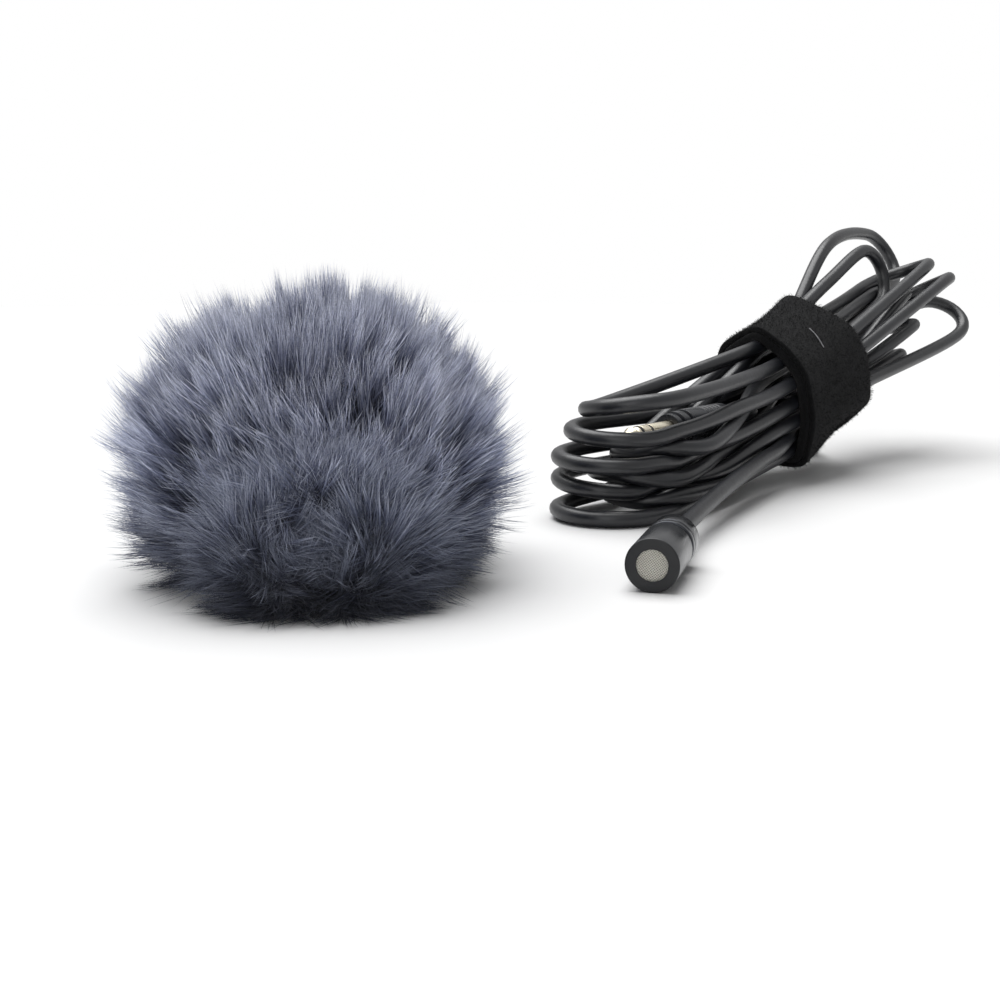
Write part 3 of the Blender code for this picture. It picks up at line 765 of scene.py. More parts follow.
def looseness(count, held, run_up):
    """0 at the two held ends of the line, 1 along the rest."""
    index = np.arange(count)
    start = np.clip((index - held[0]) / run_up[0], 0, 1)
    end = np.clip((count - 1 - index - held[1]) / run_up[1], 0, 1)
    return start * end


def open_bends(line, free, rounds):
    """Bends tighter than the cable allows are opened out, a little each round."""
    for _ in range(rounds):
        curve = np.zeros(len(line))
        curve[1:-1] = np.linalg.norm(line[2:] - 2 * line[1:-1] + line[:-2], axis=1) / STEP ** 2
        weight = np.clip(curve * TIGHTEST_BEND - 1, 0, 1)
        for _ in range(BEND_SPREAD):
            smoothed(weight)
        weight = np.clip(2 * weight, 0, 1) * free
        middle = np.zeros_like(line)
        middle[1:-1] = (line[:-2] + line[2:]) / 2 - line[1:-1]
        line = line + middle * (0.5 * weight)[:, None]
    return line


def close_pairs(line, reach):
    """Pairs of points on different runs that are within reach of each other."""
    gap = line[:, None, :] - line[None, :, :]
    near = (gap ** 2).sum(axis=2) < reach ** 2
    return np.nonzero(np.triu(near, SAME_RUN))


def plug_space():
    """Points along the plug, and how close the cable's middle may come to each."""
    places = np.arange(-JACK_LENGTH, BARREL_LENGTH + TAIL_LENGTH, 1.0 * MM)
    own = np.where(places < 0, JACK_RADIUS, np.where(places < BARREL_LENGTH, BARREL_RADIUS, TAIL_RADIUS))
    return PLUG_SHOULDER + places[:, None] * PLUG_AXIS, own + CORD_RADIUS + PLUG_GAP


def settled(line):
    """Runs push each other apart and rest on the table; every shift is spread smoothly along the cable."""
    home = respace(open_bends(line, looseness(len(line), *BENDING_ENDS), FIRST_BENDS), STEP)
    stiff = looseness(len(home), *BENDING_ENDS)
    free = looseness(len(home), *SHIFTING_ENDS)
    plug, plug_reach = plug_space()
    shift = np.zeros_like(home)
    index = np.arange(len(home))
    for k in range(SETTLE_ROUNDS):
        now = home + shift
        if k % PAIR_ROUNDS == 0:
            i, j = close_pairs(now, TOUCH + PAIR_MARGIN)
        gap = now[i] - now[j]
        distance = np.linalg.norm(gap, axis=1) + TINY
        push = gap * (np.maximum(0, TOUCH - distance) / distance * RUN_PUSH)[:, None]
        move = np.zeros_like(now)
        np.add.at(move, i, push)
        np.add.at(move, j, -push)
        gap = now[:, None, :] - plug[None, :, :]
        distance = np.linalg.norm(gap, axis=2) + TINY
        depth = np.maximum(0, plug_reach[None, :] - distance) / distance
        depth[-PLUG_POINTS:] = 0
        worst = depth.argmax(axis=1)
        move += depth[index, worst][:, None] * gap[index, worst] * PLUG_PUSH
        shift = shift + move * free[:, None]
        shift[:, 2] = np.maximum(shift[:, 2], CORD_RADIUS + TABLE_GAP - home[:, 2])
        smoothed(shift)
        shift *= free[:, None]
        if (k + 1) % BEND_ROUNDS == 0 and k < SETTLE_ROUNDS - QUIET_ROUNDS:
            home = open_bends(now, stiff, LATER_BENDS) - shift
    return respace(home + shift, STEP)


def tube_along(name, points, radius, mat):
    """A round thread along points."""
    data = bpy.data.curves.new(name, "CURVE")
    data.dimensions = "3D"
    data.bevel_depth = radius
    data.bevel_resolution = 5
    data.use_fill_caps = True
    spline = data.splines.new("POLY")
    spline.points.add(len(points) - 1)
    spline.points.foreach_set("co", np.hstack((points, np.ones((len(points), 1)))).ravel())
    spline.use_smooth = True
    data.materials.append(mat)
    return added(name, data)


cord_line = settled(smooth_line(cord_route()))
cord = tube_along("cord", cord_line, CORD_RADIUS, MATERIALS["cord_jacket"])
belongs(cord, "microphone", "cord_jacket", "cord_lead", "cord_hank")


# ---- mic head ----
def ribbed(count, start, pitch, radius, taper, shape):
    """Ribs or grooves along a profile: shape is each one's (along, radius), from its own start."""
    return [(start + pitch * k + along, radius - taper * k + height)
            for k in range(count) for along, height in shape]


def build_mic_head():
    """Cap with the face ring, rear body, collar and ribbed boot."""
    face = MIC_FOOT + UP * MIC_RADIUS
    cap = (
        (0.00, 2.43), (0.00, 4.15, 0.30), (12.20, 4.15, 0.22), (12.20, 3.47), (0.42, 3.47), (0.42, 2.43),
    )
    body = ((10.0, 1.05), (10.0, 3.35), (19.7, 3.35), (19.7, 1.05))
    collar = (
        (13.60, 3.37), (13.60, 4.10, 0.35), (15.00, 4.10), (15.12, 3.98), (15.32, 3.98), (15.44, 4.10),
        (20.00, 4.10, 0.50), (20.00, 3.37),
    )
    boot = [(18.0, 1.42), (18.0, 2.9), (20.2, 2.9)]
    boot += ribbed(5, 21.2, 1.35, 2.55, 0.17, ((-0.35, 0.0), (0.0, -0.28), (0.30, -0.28), (0.65, -0.08)))
    boot += [(29.2, 1.76), (29.2, 1.56), (28.2, 1.56), (28.2, 1.42)]
    turned("mic_front_cap", cap, face, MIC_AXIS, "anodised", "front_cap", 0.06, 128)
    turned("mic_rear_body", body, face, MIC_AXIS, "anodised", "rear_body")
    turned("mic_rear_collar", collar, face, MIC_AXIS, "polished_collar", "rear_collar", 0.05, 128)
    turned("mic_cable_boot", boot, face, MIC_AXIS, "black_rubber", "cable_boot", 0.12, 64)
    return face


def build_grille(face):
    """Plain weave of fine wire: each wire bows over and under the ones it crosses."""
    middle = face + np.array(MIC_AXIS) * GRILLE_DEPTH
    side = np.array((cos(GRILLE_TILT), 0.0, sin(GRILLE_TILT)))
    lift = np.array((-sin(GRILLE_TILT), 0.0, cos(GRILLE_TILT)))
    out = np.array((0.0, -1.0, 0.0))
    angles = [2 * pi * k / WIRE_SIDES for k in range(WIRE_SIDES)]
    vertices, faces = [], []
    count = int(GRILLE_RADIUS / GRILLE_PITCH)
    for family, (run, cross) in enumerate(((side, lift), (lift, side))):
        for i in range(-count, count + 1):
            half = sqrt(max(GRILLE_RADIUS ** 2 - (i * GRILLE_PITCH) ** 2, 0.0))
            steps = max(2, int(2 * half / (GRILLE_PITCH / 4)))
            first = len(vertices)
            for k in range(steps + 1):
                s = -half + 2 * half * k / steps
                bow = cos(pi * (s / GRILLE_PITCH + i + family))
                centre = middle + run * s + cross * i * GRILLE_PITCH + out * WIRE_RADIUS * bow
                vertices += [
                    centre + cross * WIRE_RADIUS * cos(a) + out * WIRE_RADIUS * sin(a) for a in angles]
            for ring in range(first, first + steps * WIRE_SIDES, WIRE_SIDES):
                for r in range(WIRE_SIDES):
                    a = ring + r
                    b = ring + (r + 1) % WIRE_SIDES
                    faces.append((a, b, b + WIRE_SIDES, a + WIRE_SIDES))
            faces.append(tuple(range(first + WIRE_SIDES - 1, first - 1, -1)))
            faces.append(tuple(range(len(vertices) - WIRE_SIDES, len(vertices))))
    piece = mesh_piece("mic_grille", vertices, faces, MATERIALS["wire_mesh"])
    belongs(piece, "microphone", "wire_mesh", "mesh_grille")


build_grille(build_mic_head())


# ---- plug ----
def build_plug():
    """Grooved barrel, its ribbed strain relief and the three contacts."""
    barrel = [
        (0.0, 1.85), (0.0, 3.0), (1.4, 3.0), (1.5, 2.5), (2.0, 2.5), (2.1, 3.3), (4.0, 3.3), (4.1, 2.7),
        (4.6, 2.7), (4.7, 3.5), (9.0, 3.5),
    ]
    barrel += ribbed(5, 10.0, 1.3, 3.5, 0.0, ((0.0, 0.0), (0.2, -0.25), (0.5, -0.25), (0.7, 0.0)))
    barrel += [(18.6, 3.5, 0.8), (20.0, 2.7, 0.3), (20.0, 1.85)]
    tail = [(20.1, 0.0), (20.1, 2.5)]
    tail += ribbed(3, 21.0, 1.2, 2.35, 0.18, ((0.0, 0.0), (0.2, -0.2), (0.5, -0.2), (0.7, -0.05)))
    tail += [(25.0, 1.75), (25.0, 0.0)]
    sleeve = ((-6.6, 1.05), (-6.6, 1.75), (4.0, 1.75), (4.0, 1.05))
    ring = ((-9.5, 0.55), (-9.5, 1.75), (-7.3, 1.75), (-7.3, 0.85), (6.0, 0.85), (6.0, 0.55))
    tip = (
        (-14.0, 0.0), (-13.95, 0.40), (-13.1, 1.10), (-11.9, 1.75, 0.3), (-11.4, 1.62, 0.3),
        (-10.8, 1.20, 0.3), (-10.45, 1.25), (-10.2, 1.60), (-10.2, 0.45), (8.0, 0.45), (8.0, 0.0),
    )
    return [turned(name, profile, PLUG_SHOULDER, PLUG_AXIS, slot, node, bevel, segments)
            for name, profile, slot, node, bevel, segments in (
                ("plug_body", barrel, "plug_moulding", "plug_barrel", 0.08, 96),
                ("plug_relief", tail, "black_rubber", "plug_tail", 0.10, 64),
                ("jack_sleeve_turned", sleeve, "gold_plate", "jack_sleeve", 0.07, 64),
                ("jack_ring_turned", ring, "gold_plate", "jack_ring", 0.07, 64),
                ("jack_tip_turned", tip, "gold_plate", "jack_tip", 0.07, 64),
            )]


plug_pieces = build_plug()

# ---- windscreen ----
def pack_strands(name, paths, widths, rolls, middle, shades, mat):
    """Fine ribbons that taper to a point: paths is (hair, step, 3).

    The UV layer carries each hair's shade and the way along it.
    """
    count, steps = paths.shape[:2]
    along = units(np.gradient(paths, axis=1), 1e-12)
    side = units(np.cross(along, paths - middle), 1e-12)
    face = np.cross(side, along)
    side = side * np.cos(rolls)[:, None, None] + face * np.sin(rolls)[:, None, None]
    side *= widths[:, :, None] / 2
    body = steps - 1
    edges = np.stack((paths - side, paths + side), axis=2)[:, :body].reshape(count, 2 * body, 3)
    corners = np.concatenate((edges, paths[:, -1:]), axis=1)
    own = 2 * body + 1
    first = (np.arange(count) * own)[:, None, None]
    k = 2 * np.arange(body - 1)[:, None]
    quads = (first + (k + np.array((0, 1, 3, 2)))[None]).reshape(count, -1)
    tips = (first[:, 0] + np.array((own - 3, own - 2, own - 1))).reshape(count, -1)
    loops = np.hstack((quads, tips)).ravel()
    sizes = np.tile(np.array([4] * (body - 1) + [3]), count)
    mesh = bpy.data.meshes.new(name)
    mesh.vertices.add(count * own)
    mesh.vertices.foreach_set("co", corners.ravel())
    mesh.loops.add(len(loops))
    mesh.loops.foreach_set("vertex_index", loops)
    mesh.polygons.add(len(sizes))
    mesh.polygons.foreach_set("loop_start", np.concatenate(((0,), np.cumsum(sizes)[:-1])))
    mesh.polygons.foreach_set("use_smooth", np.ones(len(sizes), bool))
    mesh.update(calc_edges=True)
    layer = mesh.uv_layers.new(name="OFBake")
    way = np.append(np.repeat(np.arange(body), 2), body) / body
    uv = np.stack((np.repeat(shades, own), np.tile(way, count)), axis=1)
    layer.data.foreach_set("uv", uv[loops].astype(np.float32).ravel())
    mesh.materials.append(mat)
    return added(name, mesh)


def faced(points):
    """Points of the windscreen turned about its middle, so that its mouth faces the way the pocket does."""
    x, y = points[..., 0] - WINDSCREEN_X, points[..., 1]
    c, t = cos(POCKET_TURN), sin(POCKET_TURN)
    return np.stack((WINDSCREEN_X + x * c - y * t, x * t + y * c, points[..., 2]), axis=-1)


def backing_ring(along):
    """Middle height and half sizes of the backing at points along it, from its mouth to its closed back."""
    stations = np.array(BACKING_STATIONS) * MM
    spots = np.linspace(stations[0, 0], stations[-1, 0], 120)
    rings = np.stack([np.interp(spots, stations[:, 0], stations[:, k]) for k in range(1, 4)], axis=1)
    for _ in range(60):
        smoothed(rings)
    return [np.interp(along, spots, rings[:, k]) for k in range(3)]


def backing_points(along, angle):
    """Points on the backing cloth; the angle is 0 on its right side and a quarter turn on top."""
    height, half_width, half_height = backing_ring(along)
    x = WINDSCREEN_X + half_width * np.cos(angle)
    return np.stack((x, along, height + half_height * np.sin(angle)), axis=-1)


def backing_normals(along, angle):
    """Outward directions of the backing cloth."""
    nudge = 0.05 * MM
    down, up = np.maximum(along - nudge, BACKING_START), np.minimum(along + nudge, BACKING_END)
    lengthwise = backing_points(up, angle) - backing_points(down, angle)
    around = backing_points(along, angle + 0.01) - backing_points(along, angle - 0.01)
    normal = units(np.cross(around, lengthwise), 1e-12)
    return -normal if (normal * (backing_points(along, angle) - FUR_MIDDLE)).sum() < 0 else normal


def even_roots(count, rng):
    """Places spread evenly by area over the backing."""
    spots = np.linspace(BACKING_START, BACKING_END, 400)
    _, half_width, half_height = backing_ring(spots)
    growth = np.gradient(np.maximum(half_width, half_height), spots)
    area = (half_width + half_height) * np.sqrt(1 + np.clip(growth, -4, 4) ** 2)
    share = np.cumsum(area) / area.sum()
    return np.interp((np.arange(count) + rng.random(count)) / count, share, spots), rng.random(count) * 2 * pi


def comb(points, normals, wander):
    """The way the pile is brushed: along the cloth, away from the parting at its mouth."""
    away = points - FUR_PARTING - wander
    away -= normals * (away * normals).sum(axis=-1, keepdims=True)
    return units(away, 2 * MM)


def slide(paths, way, step):
    """The next point along the way, kept on the table."""
    way = units(way)
    floor = (HAIR_FLOOR - paths[-1][:, 2]) / step[:, 0]
    drop = way[:, 2] < floor
    level = np.clip(floor, -0.95, 0.95)[drop]
    flat = np.sqrt(1 - level ** 2) / (np.linalg.norm(way[drop, :2], axis=1) + 1e-9)
    way[drop] = np.column_stack((way[drop, 0] * flat, way[drop, 1] * flat, level))
    paths.append(paths[-1] + way * step)


def grow_pile(roots, normals, heading, lengths, lift, bend):
    """Guide hairs: they leave the cloth steeply, then lean the way they are brushed."""
    step = (lengths / (GUIDE_STEPS - 1))[:, None]
    high = np.clip((roots[:, 2] - UPPER_PILE) / UPPER_BLEND, 0, 1)
    paths = [roots]
    for k in range(1, GUIDE_STEPS):
        t = k / (GUIDE_STEPS - 1)
        angle = lift * (1 - LEANING * t) + ROOT_RISE * (1 - t)
        way = normals * np.sin(angle)[:, None] + heading * np.cos(angle)[:, None] + bend * t
        way[:, 2] += (UPWARD * high - SAG) * t
        slide(paths, way, step)
    return np.stack(paths, axis=1)


def grow_fringe(rng):
    """Guide hairs round the mouth: forward out of the rim, then over it, away from the parting below."""
    count = FRINGE_LOCKS
    angle = np.where(rng.random(count) < 0.6, rng.uniform(-pi, 0, count), rng.uniform(0, pi, count))
    low = angle < 0
    along = rng.uniform(*FRINGE_ROOTS, count) * MM
    roots = backing_points(along, angle)
    away = roots - FUR_PARTING
    fan = np.arctan2(away[:, 2], away[:, 0]) + rng.normal(0, radians(38), count)
    later_way = np.stack((np.cos(fan), rng.normal(-0.12, 0.16, count), np.sin(fan)), axis=1)
    out = roots - np.array((WINDSCREEN_X, 0.0, POCKET_HEIGHT))
    out[:, 1] = 0
    out = units(out)
    first_way = out * 0.30 - np.array((0.0, 1.0, 0.0))
    crossing = rng.random(count) < CROSSING_SHARE
    across = -out + rng.normal(0, 0.45, (count, 3)) - np.array((0.0, 0.25, 0.0))
    later_way = np.where(crossing[:, None], across, later_way)
    turning = np.where(crossing, 0.42, np.where(low, rng.uniform(0.35, 1.0, count), 0.5))
    spilling = ~crossing & (rng.random(count) < SPILLING_SHARE / (1 - CROSSING_SHARE)) & low
    spread = rng.uniform(-1.0, 1.0, count) * SPILLING_FAN
    forward = np.stack((np.sin(spread), -np.cos(spread), rng.normal(-0.10, 0.35, count)), axis=1)
    later_way = np.where(spilling[:, None], forward, later_way)
    lengths = np.where(low, rng.uniform(*LOW_FRINGE, count), rng.uniform(*HIGH_FRINGE, count)) * MM
    lengths = np.where(spilling, rng.uniform(*SPILLING_FRINGE, count) * MM, lengths)
    step = (lengths / (GUIDE_STEPS - 1))[:, None]
    paths = [roots]
    for k in range(1, GUIDE_STEPS):
        blend = np.clip(k / (GUIDE_STEPS - 1) / turning, 0, 1)[:, None]
        slide(paths, first_way * (1 - blend) + later_way * blend, step)
    return np.stack(paths, axis=1)


def nearest(points, centres):
    """For each point, which centre is nearest."""
    gap = (points ** 2).sum(axis=1)[:, None] - 2 * points @ centres.T + (centres ** 2).sum(axis=1)[None]
    return gap.argmin(axis=1)


def pile_guides(rng):
    """One guide hair per lock; the locks of a tuft share its lean and length and draw towards its middle."""
    along, angle = even_roots(TUFTS, rng)
    tuft_roots, tuft_normals = backing_points(along, angle), backing_normals(along, angle)
    tuft_turn = rng.normal(0, 0.20, (TUFTS, 3))
    tuft_size = rng.uniform(0.74, 1.10, TUFTS)
    tuft_lift = rng.normal(0, radians(10), TUFTS)

    along, angle = even_roots(LOCKS, rng)
    roots, normals = backing_points(along, angle), backing_normals(along, angle)
    own_tuft = nearest(roots, tuft_roots)
    heading = comb(roots, normals, rng.normal(0, 3.0 * MM, (LOCKS, 3))) + tuft_turn[own_tuft]
    heading = heading + rng.normal(0, 0.13, (LOCKS, 3))
    near_mouth = np.clip((MOUTH_FRINGE - roots[:, 1]) / MOUTH_BLEND, 0, 1)
    below = np.clip((LOWER_PILE - roots[:, 2]) / LOWER_BLEND, 0, 1)
    heading += near_mouth[:, None] * rng.normal(0, 0.60, (LOCKS, 3))
    heading += below[:, None] * rng.normal(0, 0.30, (LOCKS, 3))
    lengths = HAIR_LENGTH * tuft_size[own_tuft] * rng.uniform(0.88, 1.08, LOCKS)
    lengths *= (1 - 0.40 * near_mouth) * (1 + 0.10 * below)
    lift = PILE_LIFT + tuft_lift[own_tuft] + rng.normal(0, radians(4), LOCKS)
    bend = rng.normal(0, 0.10, (LOCKS, 3))
    gather = tuft_roots[own_tuft] + tuft_normals[own_tuft] * GATHER_HEIGHT - roots - normals * GATHER_HEIGHT
    bend += gather / (HAIR_LENGTH * GATHER_LOOSENESS)
    return grow_pile(roots, normals, heading, lengths, lift, bend), normals


def build_fur(mat):
    """The long pile: broad tufts, split into locks, split into hairs that draw together to their tips."""
    rng = np.random.default_rng(11)
    guides, normals = pile_guides(rng)
    fringe = grow_fringe(rng)
    guides = np.concatenate((guides, fringe))
    normals = np.concatenate((normals, np.tile((0.0, -1.0, 0.0), (len(fringe), 1))))

    lock = np.repeat(np.arange(len(guides)), HAIRS_PER_LOCK)
    hairs = len(lock)
    spread = rng.normal(0, LOCK_SPREAD, (hairs, 3))
    spread -= normals[lock] * (spread * normals[lock]).sum(axis=1, keepdims=True)
    stray = rng.random(hairs) < STRAY_SHARE
    draw = np.where(stray, rng.uniform(-1.5, 0.0, hairs), rng.uniform(-0.15, 0.56, hairs))
    reach = np.where(stray, rng.uniform(0.75, 1.08, hairs), 1 - 0.27 * rng.random(hairs) ** 1.8)
    wave = rng.normal(0, 1, (hairs, 3)) * HAIR_WAVE
    way = np.linspace(0, 1, HAIR_STEPS)
    paths = np.empty((hairs, HAIR_STEPS, 3))
    for k in range(HAIR_STEPS):
        t = k / (HAIR_STEPS - 1)
        spot = np.clip(t * reach, 0, 1.15) * (GUIDE_STEPS - 1)
        low = np.minimum(spot.astype(int), GUIDE_STEPS - 2)
        part = (spot - low)[:, None]
        middle = guides[lock, low] * (1 - part) + guides[lock, low + 1] * part
        paths[:, k] = middle + spread * (1 - draw * t ** 0.8)[:, None] + wave * sin(pi * 1.5 * t) * t
    lowest = (0.10 + 0.9 * rng.random(hairs) ** 2) * MM
    paths[:, :, 2] = np.maximum(paths[:, :, 2], lowest[:, None])
    paths = faced(paths)
    guard = rng.random(hairs) < GUARD_SHARE
    widths = HAIR_WIDTH * np.where(guard, 1.55, rng.uniform(0.7, 1.05, hairs))[:, None]
    widths = widths * (1 - 0.55 * way ** 1.5)[None]
    rolls = rng.normal(0, radians(38), hairs)
    shades = np.where(guard, rng.uniform(0.75, 1.0, hairs), rng.random(hairs) * 0.8)
    # painted shade: the fringe hairs round the mouth are coloured darker
    shades[lock >= LOCKS] *= FRINGE_PAINTED_SHADE
    order = rng.permutation(hairs)
    for k, part in enumerate(np.array_split(order, FUR_PIECES)):
        name = f"fur_pile_{k + 1}"
        obj = pack_strands(name, paths[part], widths[part], rolls[part], FUR_MIDDLE, shades[part], mat)
        belongs(obj, "windscreen", "faux_fur", *(("fur_cover",) if k == 0 else ()))


def grid_piece(name, points, mat, closed=True):
    """A skin over rows of closed loops; its last row joins the first, or both ends are capped."""
    rows, count = points.shape[:2]
    faces = []
    for i in range(rows if closed else rows - 1):
        first, after = i * count, (i + 1) % rows * count
        for k in range(count):
            m = (k + 1) % count
            faces.append((first + k, first + m, after + m, after + k))
    if not closed:
        faces += [range(count), range(rows * count - 1, (rows - 1) * count - 1, -1)]
    return mesh_piece(name, points.reshape(-1, 3), faces, mat)


def gathered_tube(name, profile, ribs, depth, segments, slot, node):
    """A closed profile of (along Y, radius, share of the gathers) in mm, turned about the pocket's axis."""
    angle = round_angles(segments)
    gathers = np.cos(angle * ribs) + 0.35 * np.cos(angle * (ribs // 2) + 1.0)
    rows = []
    for along, radius, share in profile:
        size = radius * MM + depth * share * gathers
        x, z = WINDSCREEN_X + size * np.cos(angle), POCKET_HEIGHT + size * np.sin(angle)
        rows.append(np.stack((x, np.full(segments, along * MM), z), axis=1))
    belongs(grid_piece(name, faced(np.array(rows)), MATERIALS[slot]), "windscreen", slot, node)


def build_pocket():
    """The cloth that carries the pile, the knitted pocket for the mic and the elastic round its mouth."""
    along = np.linspace(BACKING_STATIONS[0][0], BACKING_STATIONS[-1][0], BACKING_ROWS) * MM
    angle = round_angles(BACKING_SEGMENTS)
    skin = backing_points(*np.meshgrid(along, angle, indexing="ij"))
    inside = skin[::-1].copy()
    back = along[::-1]
    centres = np.stack((np.full(BACKING_ROWS, WINDSCREEN_X), back, backing_ring(back)[0]), axis=1)[:, None]
    inside += (centres - inside) * BACKING_THICKNESS
    piece = grid_piece("windscreen_backing", faced(np.concatenate((skin, inside))), MATERIALS["knit"])
    belongs(piece, "windscreen", "knit")
    liner = (
        (-25.0, 4.82, 0.6), (-25.0, 5.28, 0.6), (-24.0, 5.28, 1.0), (-16.0, 5.28, 1.0), (-8.0, 5.28, 1.0),
        (-3.2, 5.25, 0.8), (-2.35, 4.7, 0.4), (-2.3, 0.05, 0.0), (-2.8, 0.05, 0.0), (-2.85, 4.3, 0.4),
        (-3.6, 4.80, 0.8), (-8.0, 4.82, 1.0), (-16.0, 4.82, 1.0), (-24.0, 4.82, 1.0),
    )
    neck = (
        (-27.25, 4.72, 0.5), (-27.30, 4.95, 1.0), (-27.20, 5.20, 1.0), (-26.8, 5.26, 0.7),
        (-26.3, 5.20, 0.9), (-25.8, 5.27, 0.7), (-25.4, 5.20, 1.0), (-25.3, 4.95, 1.0),
        (-25.35, 4.70, 0.5), (-25.8, 4.62, 0.4), (-26.3, 4.66, 0.6), (-26.8, 4.62, 0.4),
    )
    gathered_tube("pocket_liner", liner, 44, 0.02 * MM, 264, "knit", "knit_liner")
    gathered_tube("neck_band", neck, 30, 0.035 * MM, 240, "elastic", "neck_elastic")


# ---- tie ----
def bundle_outline(line, offset, angles):
    """How far the tight wrap stands from the tie's middle, at each angle, in one plane across the runs."""
    from_plane = (line - TIE_CENTRE) @ TIE_AXIS - offset
    crossing = np.nonzero(from_plane[:-1] * from_plane[1:] <= 0)[0]
    share = (from_plane[crossing] / (from_plane[crossing] - from_plane[crossing + 1]))[:, None]
    spots = line[crossing] * (1 - share) + line[crossing + 1] * share - TIE_CENTRE
    flat = np.stack((spots @ TIE_ACROSS, spots @ TIE_UP), axis=1)
    flat = flat[np.linalg.norm(flat, axis=1) < BUNDLE_REACH]
    fans = round_angles(WRAP_FANS)
    support = (flat @ np.stack((np.cos(fans), np.sin(fans)))).max(axis=0) + CORD_RADIUS + WRAP_GAP
    facing = np.cos(angles[:, None] - fans[None, :])
    return np.where(facing > 0.05, support[None, :] / np.maximum(facing, 0.05), 1.0).min(axis=1)


class Wrap:
    """The surface of a strap drawn tight round the runs: a polar outline for every place across its width."""

    def __init__(self, line):
        self.angles = round_angles(TIE_SEGMENTS)
        self.offsets = np.linspace(-0.5, 0.5, 13) * TIE_WIDTH * 1.2
        rows = np.array([bundle_outline(line, offset, self.angles) for offset in self.offsets])
        for _ in range(8):
            rows = (np.roll(rows, 1, axis=1) + 2 * rows + np.roll(rows, -1, axis=1)) / 4
            smoothed(rows)
        self.rows = rows + 0.10 * MM

    def radius(self, offset, angle):
        """Interpolated outline at arrays of offsets and angles."""
        turn = (angle % (2 * pi)) / (2 * pi) * TIE_SEGMENTS
        low = turn.astype(int) % TIE_SEGMENTS
        part = turn - turn.astype(int)
        spot = np.interp(offset, self.offsets, np.arange(len(self.offsets)))
        row = np.minimum(spot.astype(int), len(self.offsets) - 2)
        down = spot - row
        near = self.rows[row, low] * (1 - part) + self.rows[row, (low + 1) % TIE_SEGMENTS] * part
        far = self.rows[row + 1, low] * (1 - part) + self.rows[row + 1, (low + 1) % TIE_SEGMENTS] * part
        return near * (1 - down) + far * down

    def points(self, offset, angle, height):
        """Points at a height over the runs; offset is along the hank from the tie's middle."""
        size = (self.radius(offset, angle) + height)[..., None]
        c, s = np.cos(angle)[..., None], np.sin(angle)[..., None]
        return (TIE_CENTRE + TIE_AXIS * (offset[..., None] + TIE_SLANT * c)
                + TIE_ACROSS * size * c + TIE_UP * size * s)


def strap_section(bottom, thickness):
    """Closed loop of (offset, height) across the strap, with rounded edges."""
    half, top = TIE_WIDTH / 2, bottom + thickness
    loop = rounded([(-half, bottom), (half, bottom), (half, top), (-half, top)], STRAP_EDGE, 5)
    out = []
    for i, corner in enumerate(loop):
        after = loop[(i + 1) % len(loop)]
        parts = max(1, int(np.linalg.norm(after - corner) / STRAP_STEP))
        out += [corner + (after - corner) * k / parts for k in range(parts)]
    return np.array(out)


def strap_piece(name, node, wrap, section, start, end, lift):
    """A strap from one angle to another; a full turn closes on itself. Its far end may stand off the runs."""
    full = end - start >= 2 * pi - 1e-6
    count = int(TIE_SEGMENTS * (end - start) / (2 * pi))
    rows = []
    for k, turn in enumerate(np.linspace(start, end, count, endpoint=not full)):
        share = k / (count - 1)
        wander = STRAP_WANDER * (sin(turn * 3.0) + 0.6 * sin(turn * 7.0 + 1.0))
        height = section[:, 1] + lift * max(0.0, (share - LIFTED_FROM) / (1 - LIFTED_FROM)) ** 2
        rows.append(wrap.points(section[:, 0] + wander, np.full(len(section), turn), height))
    piece = grid_piece(name, np.array(rows), MATERIALS["hook_and_loop"], closed=full)
    return belongs(piece, "microphone", "hook_and_loop", node)


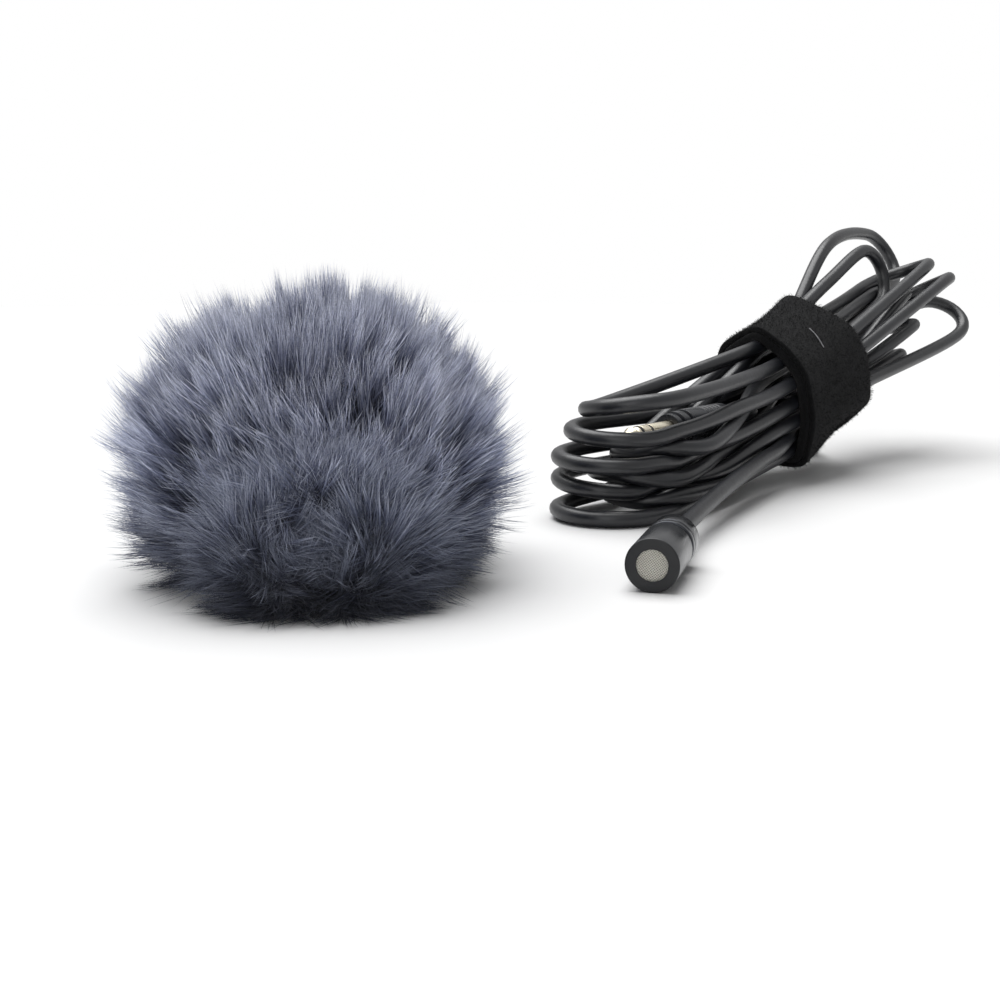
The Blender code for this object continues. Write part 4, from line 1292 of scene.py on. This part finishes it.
def tie_pile(name, wrap, count, height, start, end, offset, rng):
    """Short napped fibres over a strap's outer face and edges."""
    across = rng.uniform(-0.5, 0.5, count) * TIE_WIDTH
    angle = rng.uniform(start, end, count)
    edge = rng.random(count) < NAP_EDGE_SHARE
    across[edge] = np.sign(across[edge]) * TIE_WIDTH / 2
    low = np.where(edge, rng.uniform(0.2, 1.0, count), 1.0) * height
    roots = wrap.points(across + offset, angle, low - 0.05 * MM)
    out = roots - TIE_CENTRE
    out = units(out - (out @ TIE_AXIS)[:, None] * TIE_AXIS)
    lean = rng.normal(0, 0.75, (count, 3)) + np.where(edge, np.sign(across), 0.0)[:, None] * TIE_AXIS * 1.2
    way = units(out + lean)
    curl = rng.normal(0, 0.5, (count, 3))
    lengths = rng.uniform(*NAP_LENGTH, count)[:, None] * MM
    paths = np.stack([roots + (way * t + curl * t * t * 0.6) * lengths for t in NAP_STEPS], axis=1)
    widths = np.full((count, len(NAP_STEPS)), NAP_WIDTH)
    rolls = rng.uniform(0, pi, count)
    shades = rng.random(count)
    obj = pack_strands(name, paths, widths, rolls, TIE_CENTRE, shades, MATERIALS["hook_and_loop"])
    belongs(obj, "microphone", "hook_and_loop")


def build_tie(line):
    """The strap round the waist of the hank, its hook end lapped over the top, and the nap on both."""
    wrap = Wrap(line)
    strip = strap_piece("tie_strap", "tie_strip", wrap, strap_section(0.0, TIE_THICKNESS), 0.0, 2 * pi, 0.0)
    lap = strap_section(TIE_THICKNESS + 0.05 * MM, TAB_THICKNESS)
    lap[:, 0] += TAB_SHIFT
    tab = strap_piece("tie_lap", "tie_hook_tab", wrap, lap, TAB_START, TAB_END, TAB_LIFT)
    rng = np.random.default_rng(5)
    top = TIE_THICKNESS + TAB_THICKNESS
    tie_pile("tie_nap", wrap, STRAP_FIBRES, TIE_THICKNESS, TAB_END, TAB_START + 2 * pi, 0.0, rng)
    tie_pile("tie_lap_nap", wrap, TAB_FIBRES, top, TAB_START, TAB_END, TAB_SHIFT, rng)
    lint = wrap.points(np.linspace(1.3, -0.9, 9) * MM, np.radians(np.linspace(66, 44, 9)), top + 0.10 * MM)
    lint[:, 2] += 0.25 * MM * np.sin(np.linspace(0, pi, 9))
    thread = tube_along("tie_lint", lint, 0.13 * MM, MATERIALS["lint"])
    belongs(thread, "microphone", "hook_and_loop")
    return [strip, tab]


tie_pieces = build_tie(cord_line)
build_pocket()
build_fur(MATERIALS["faux_fur"])

# ---- CAD pieces that stay get their finish ----
slots = {part["node"]: part["material_slot"] for part in frame["record"]["subparts"]}
for name, node in frame["nodes"].items():
    if slots[name] in MATERIALS:
        for material_slot in node.material_slots:
            material_slot.material = MATERIALS[slots[name]]
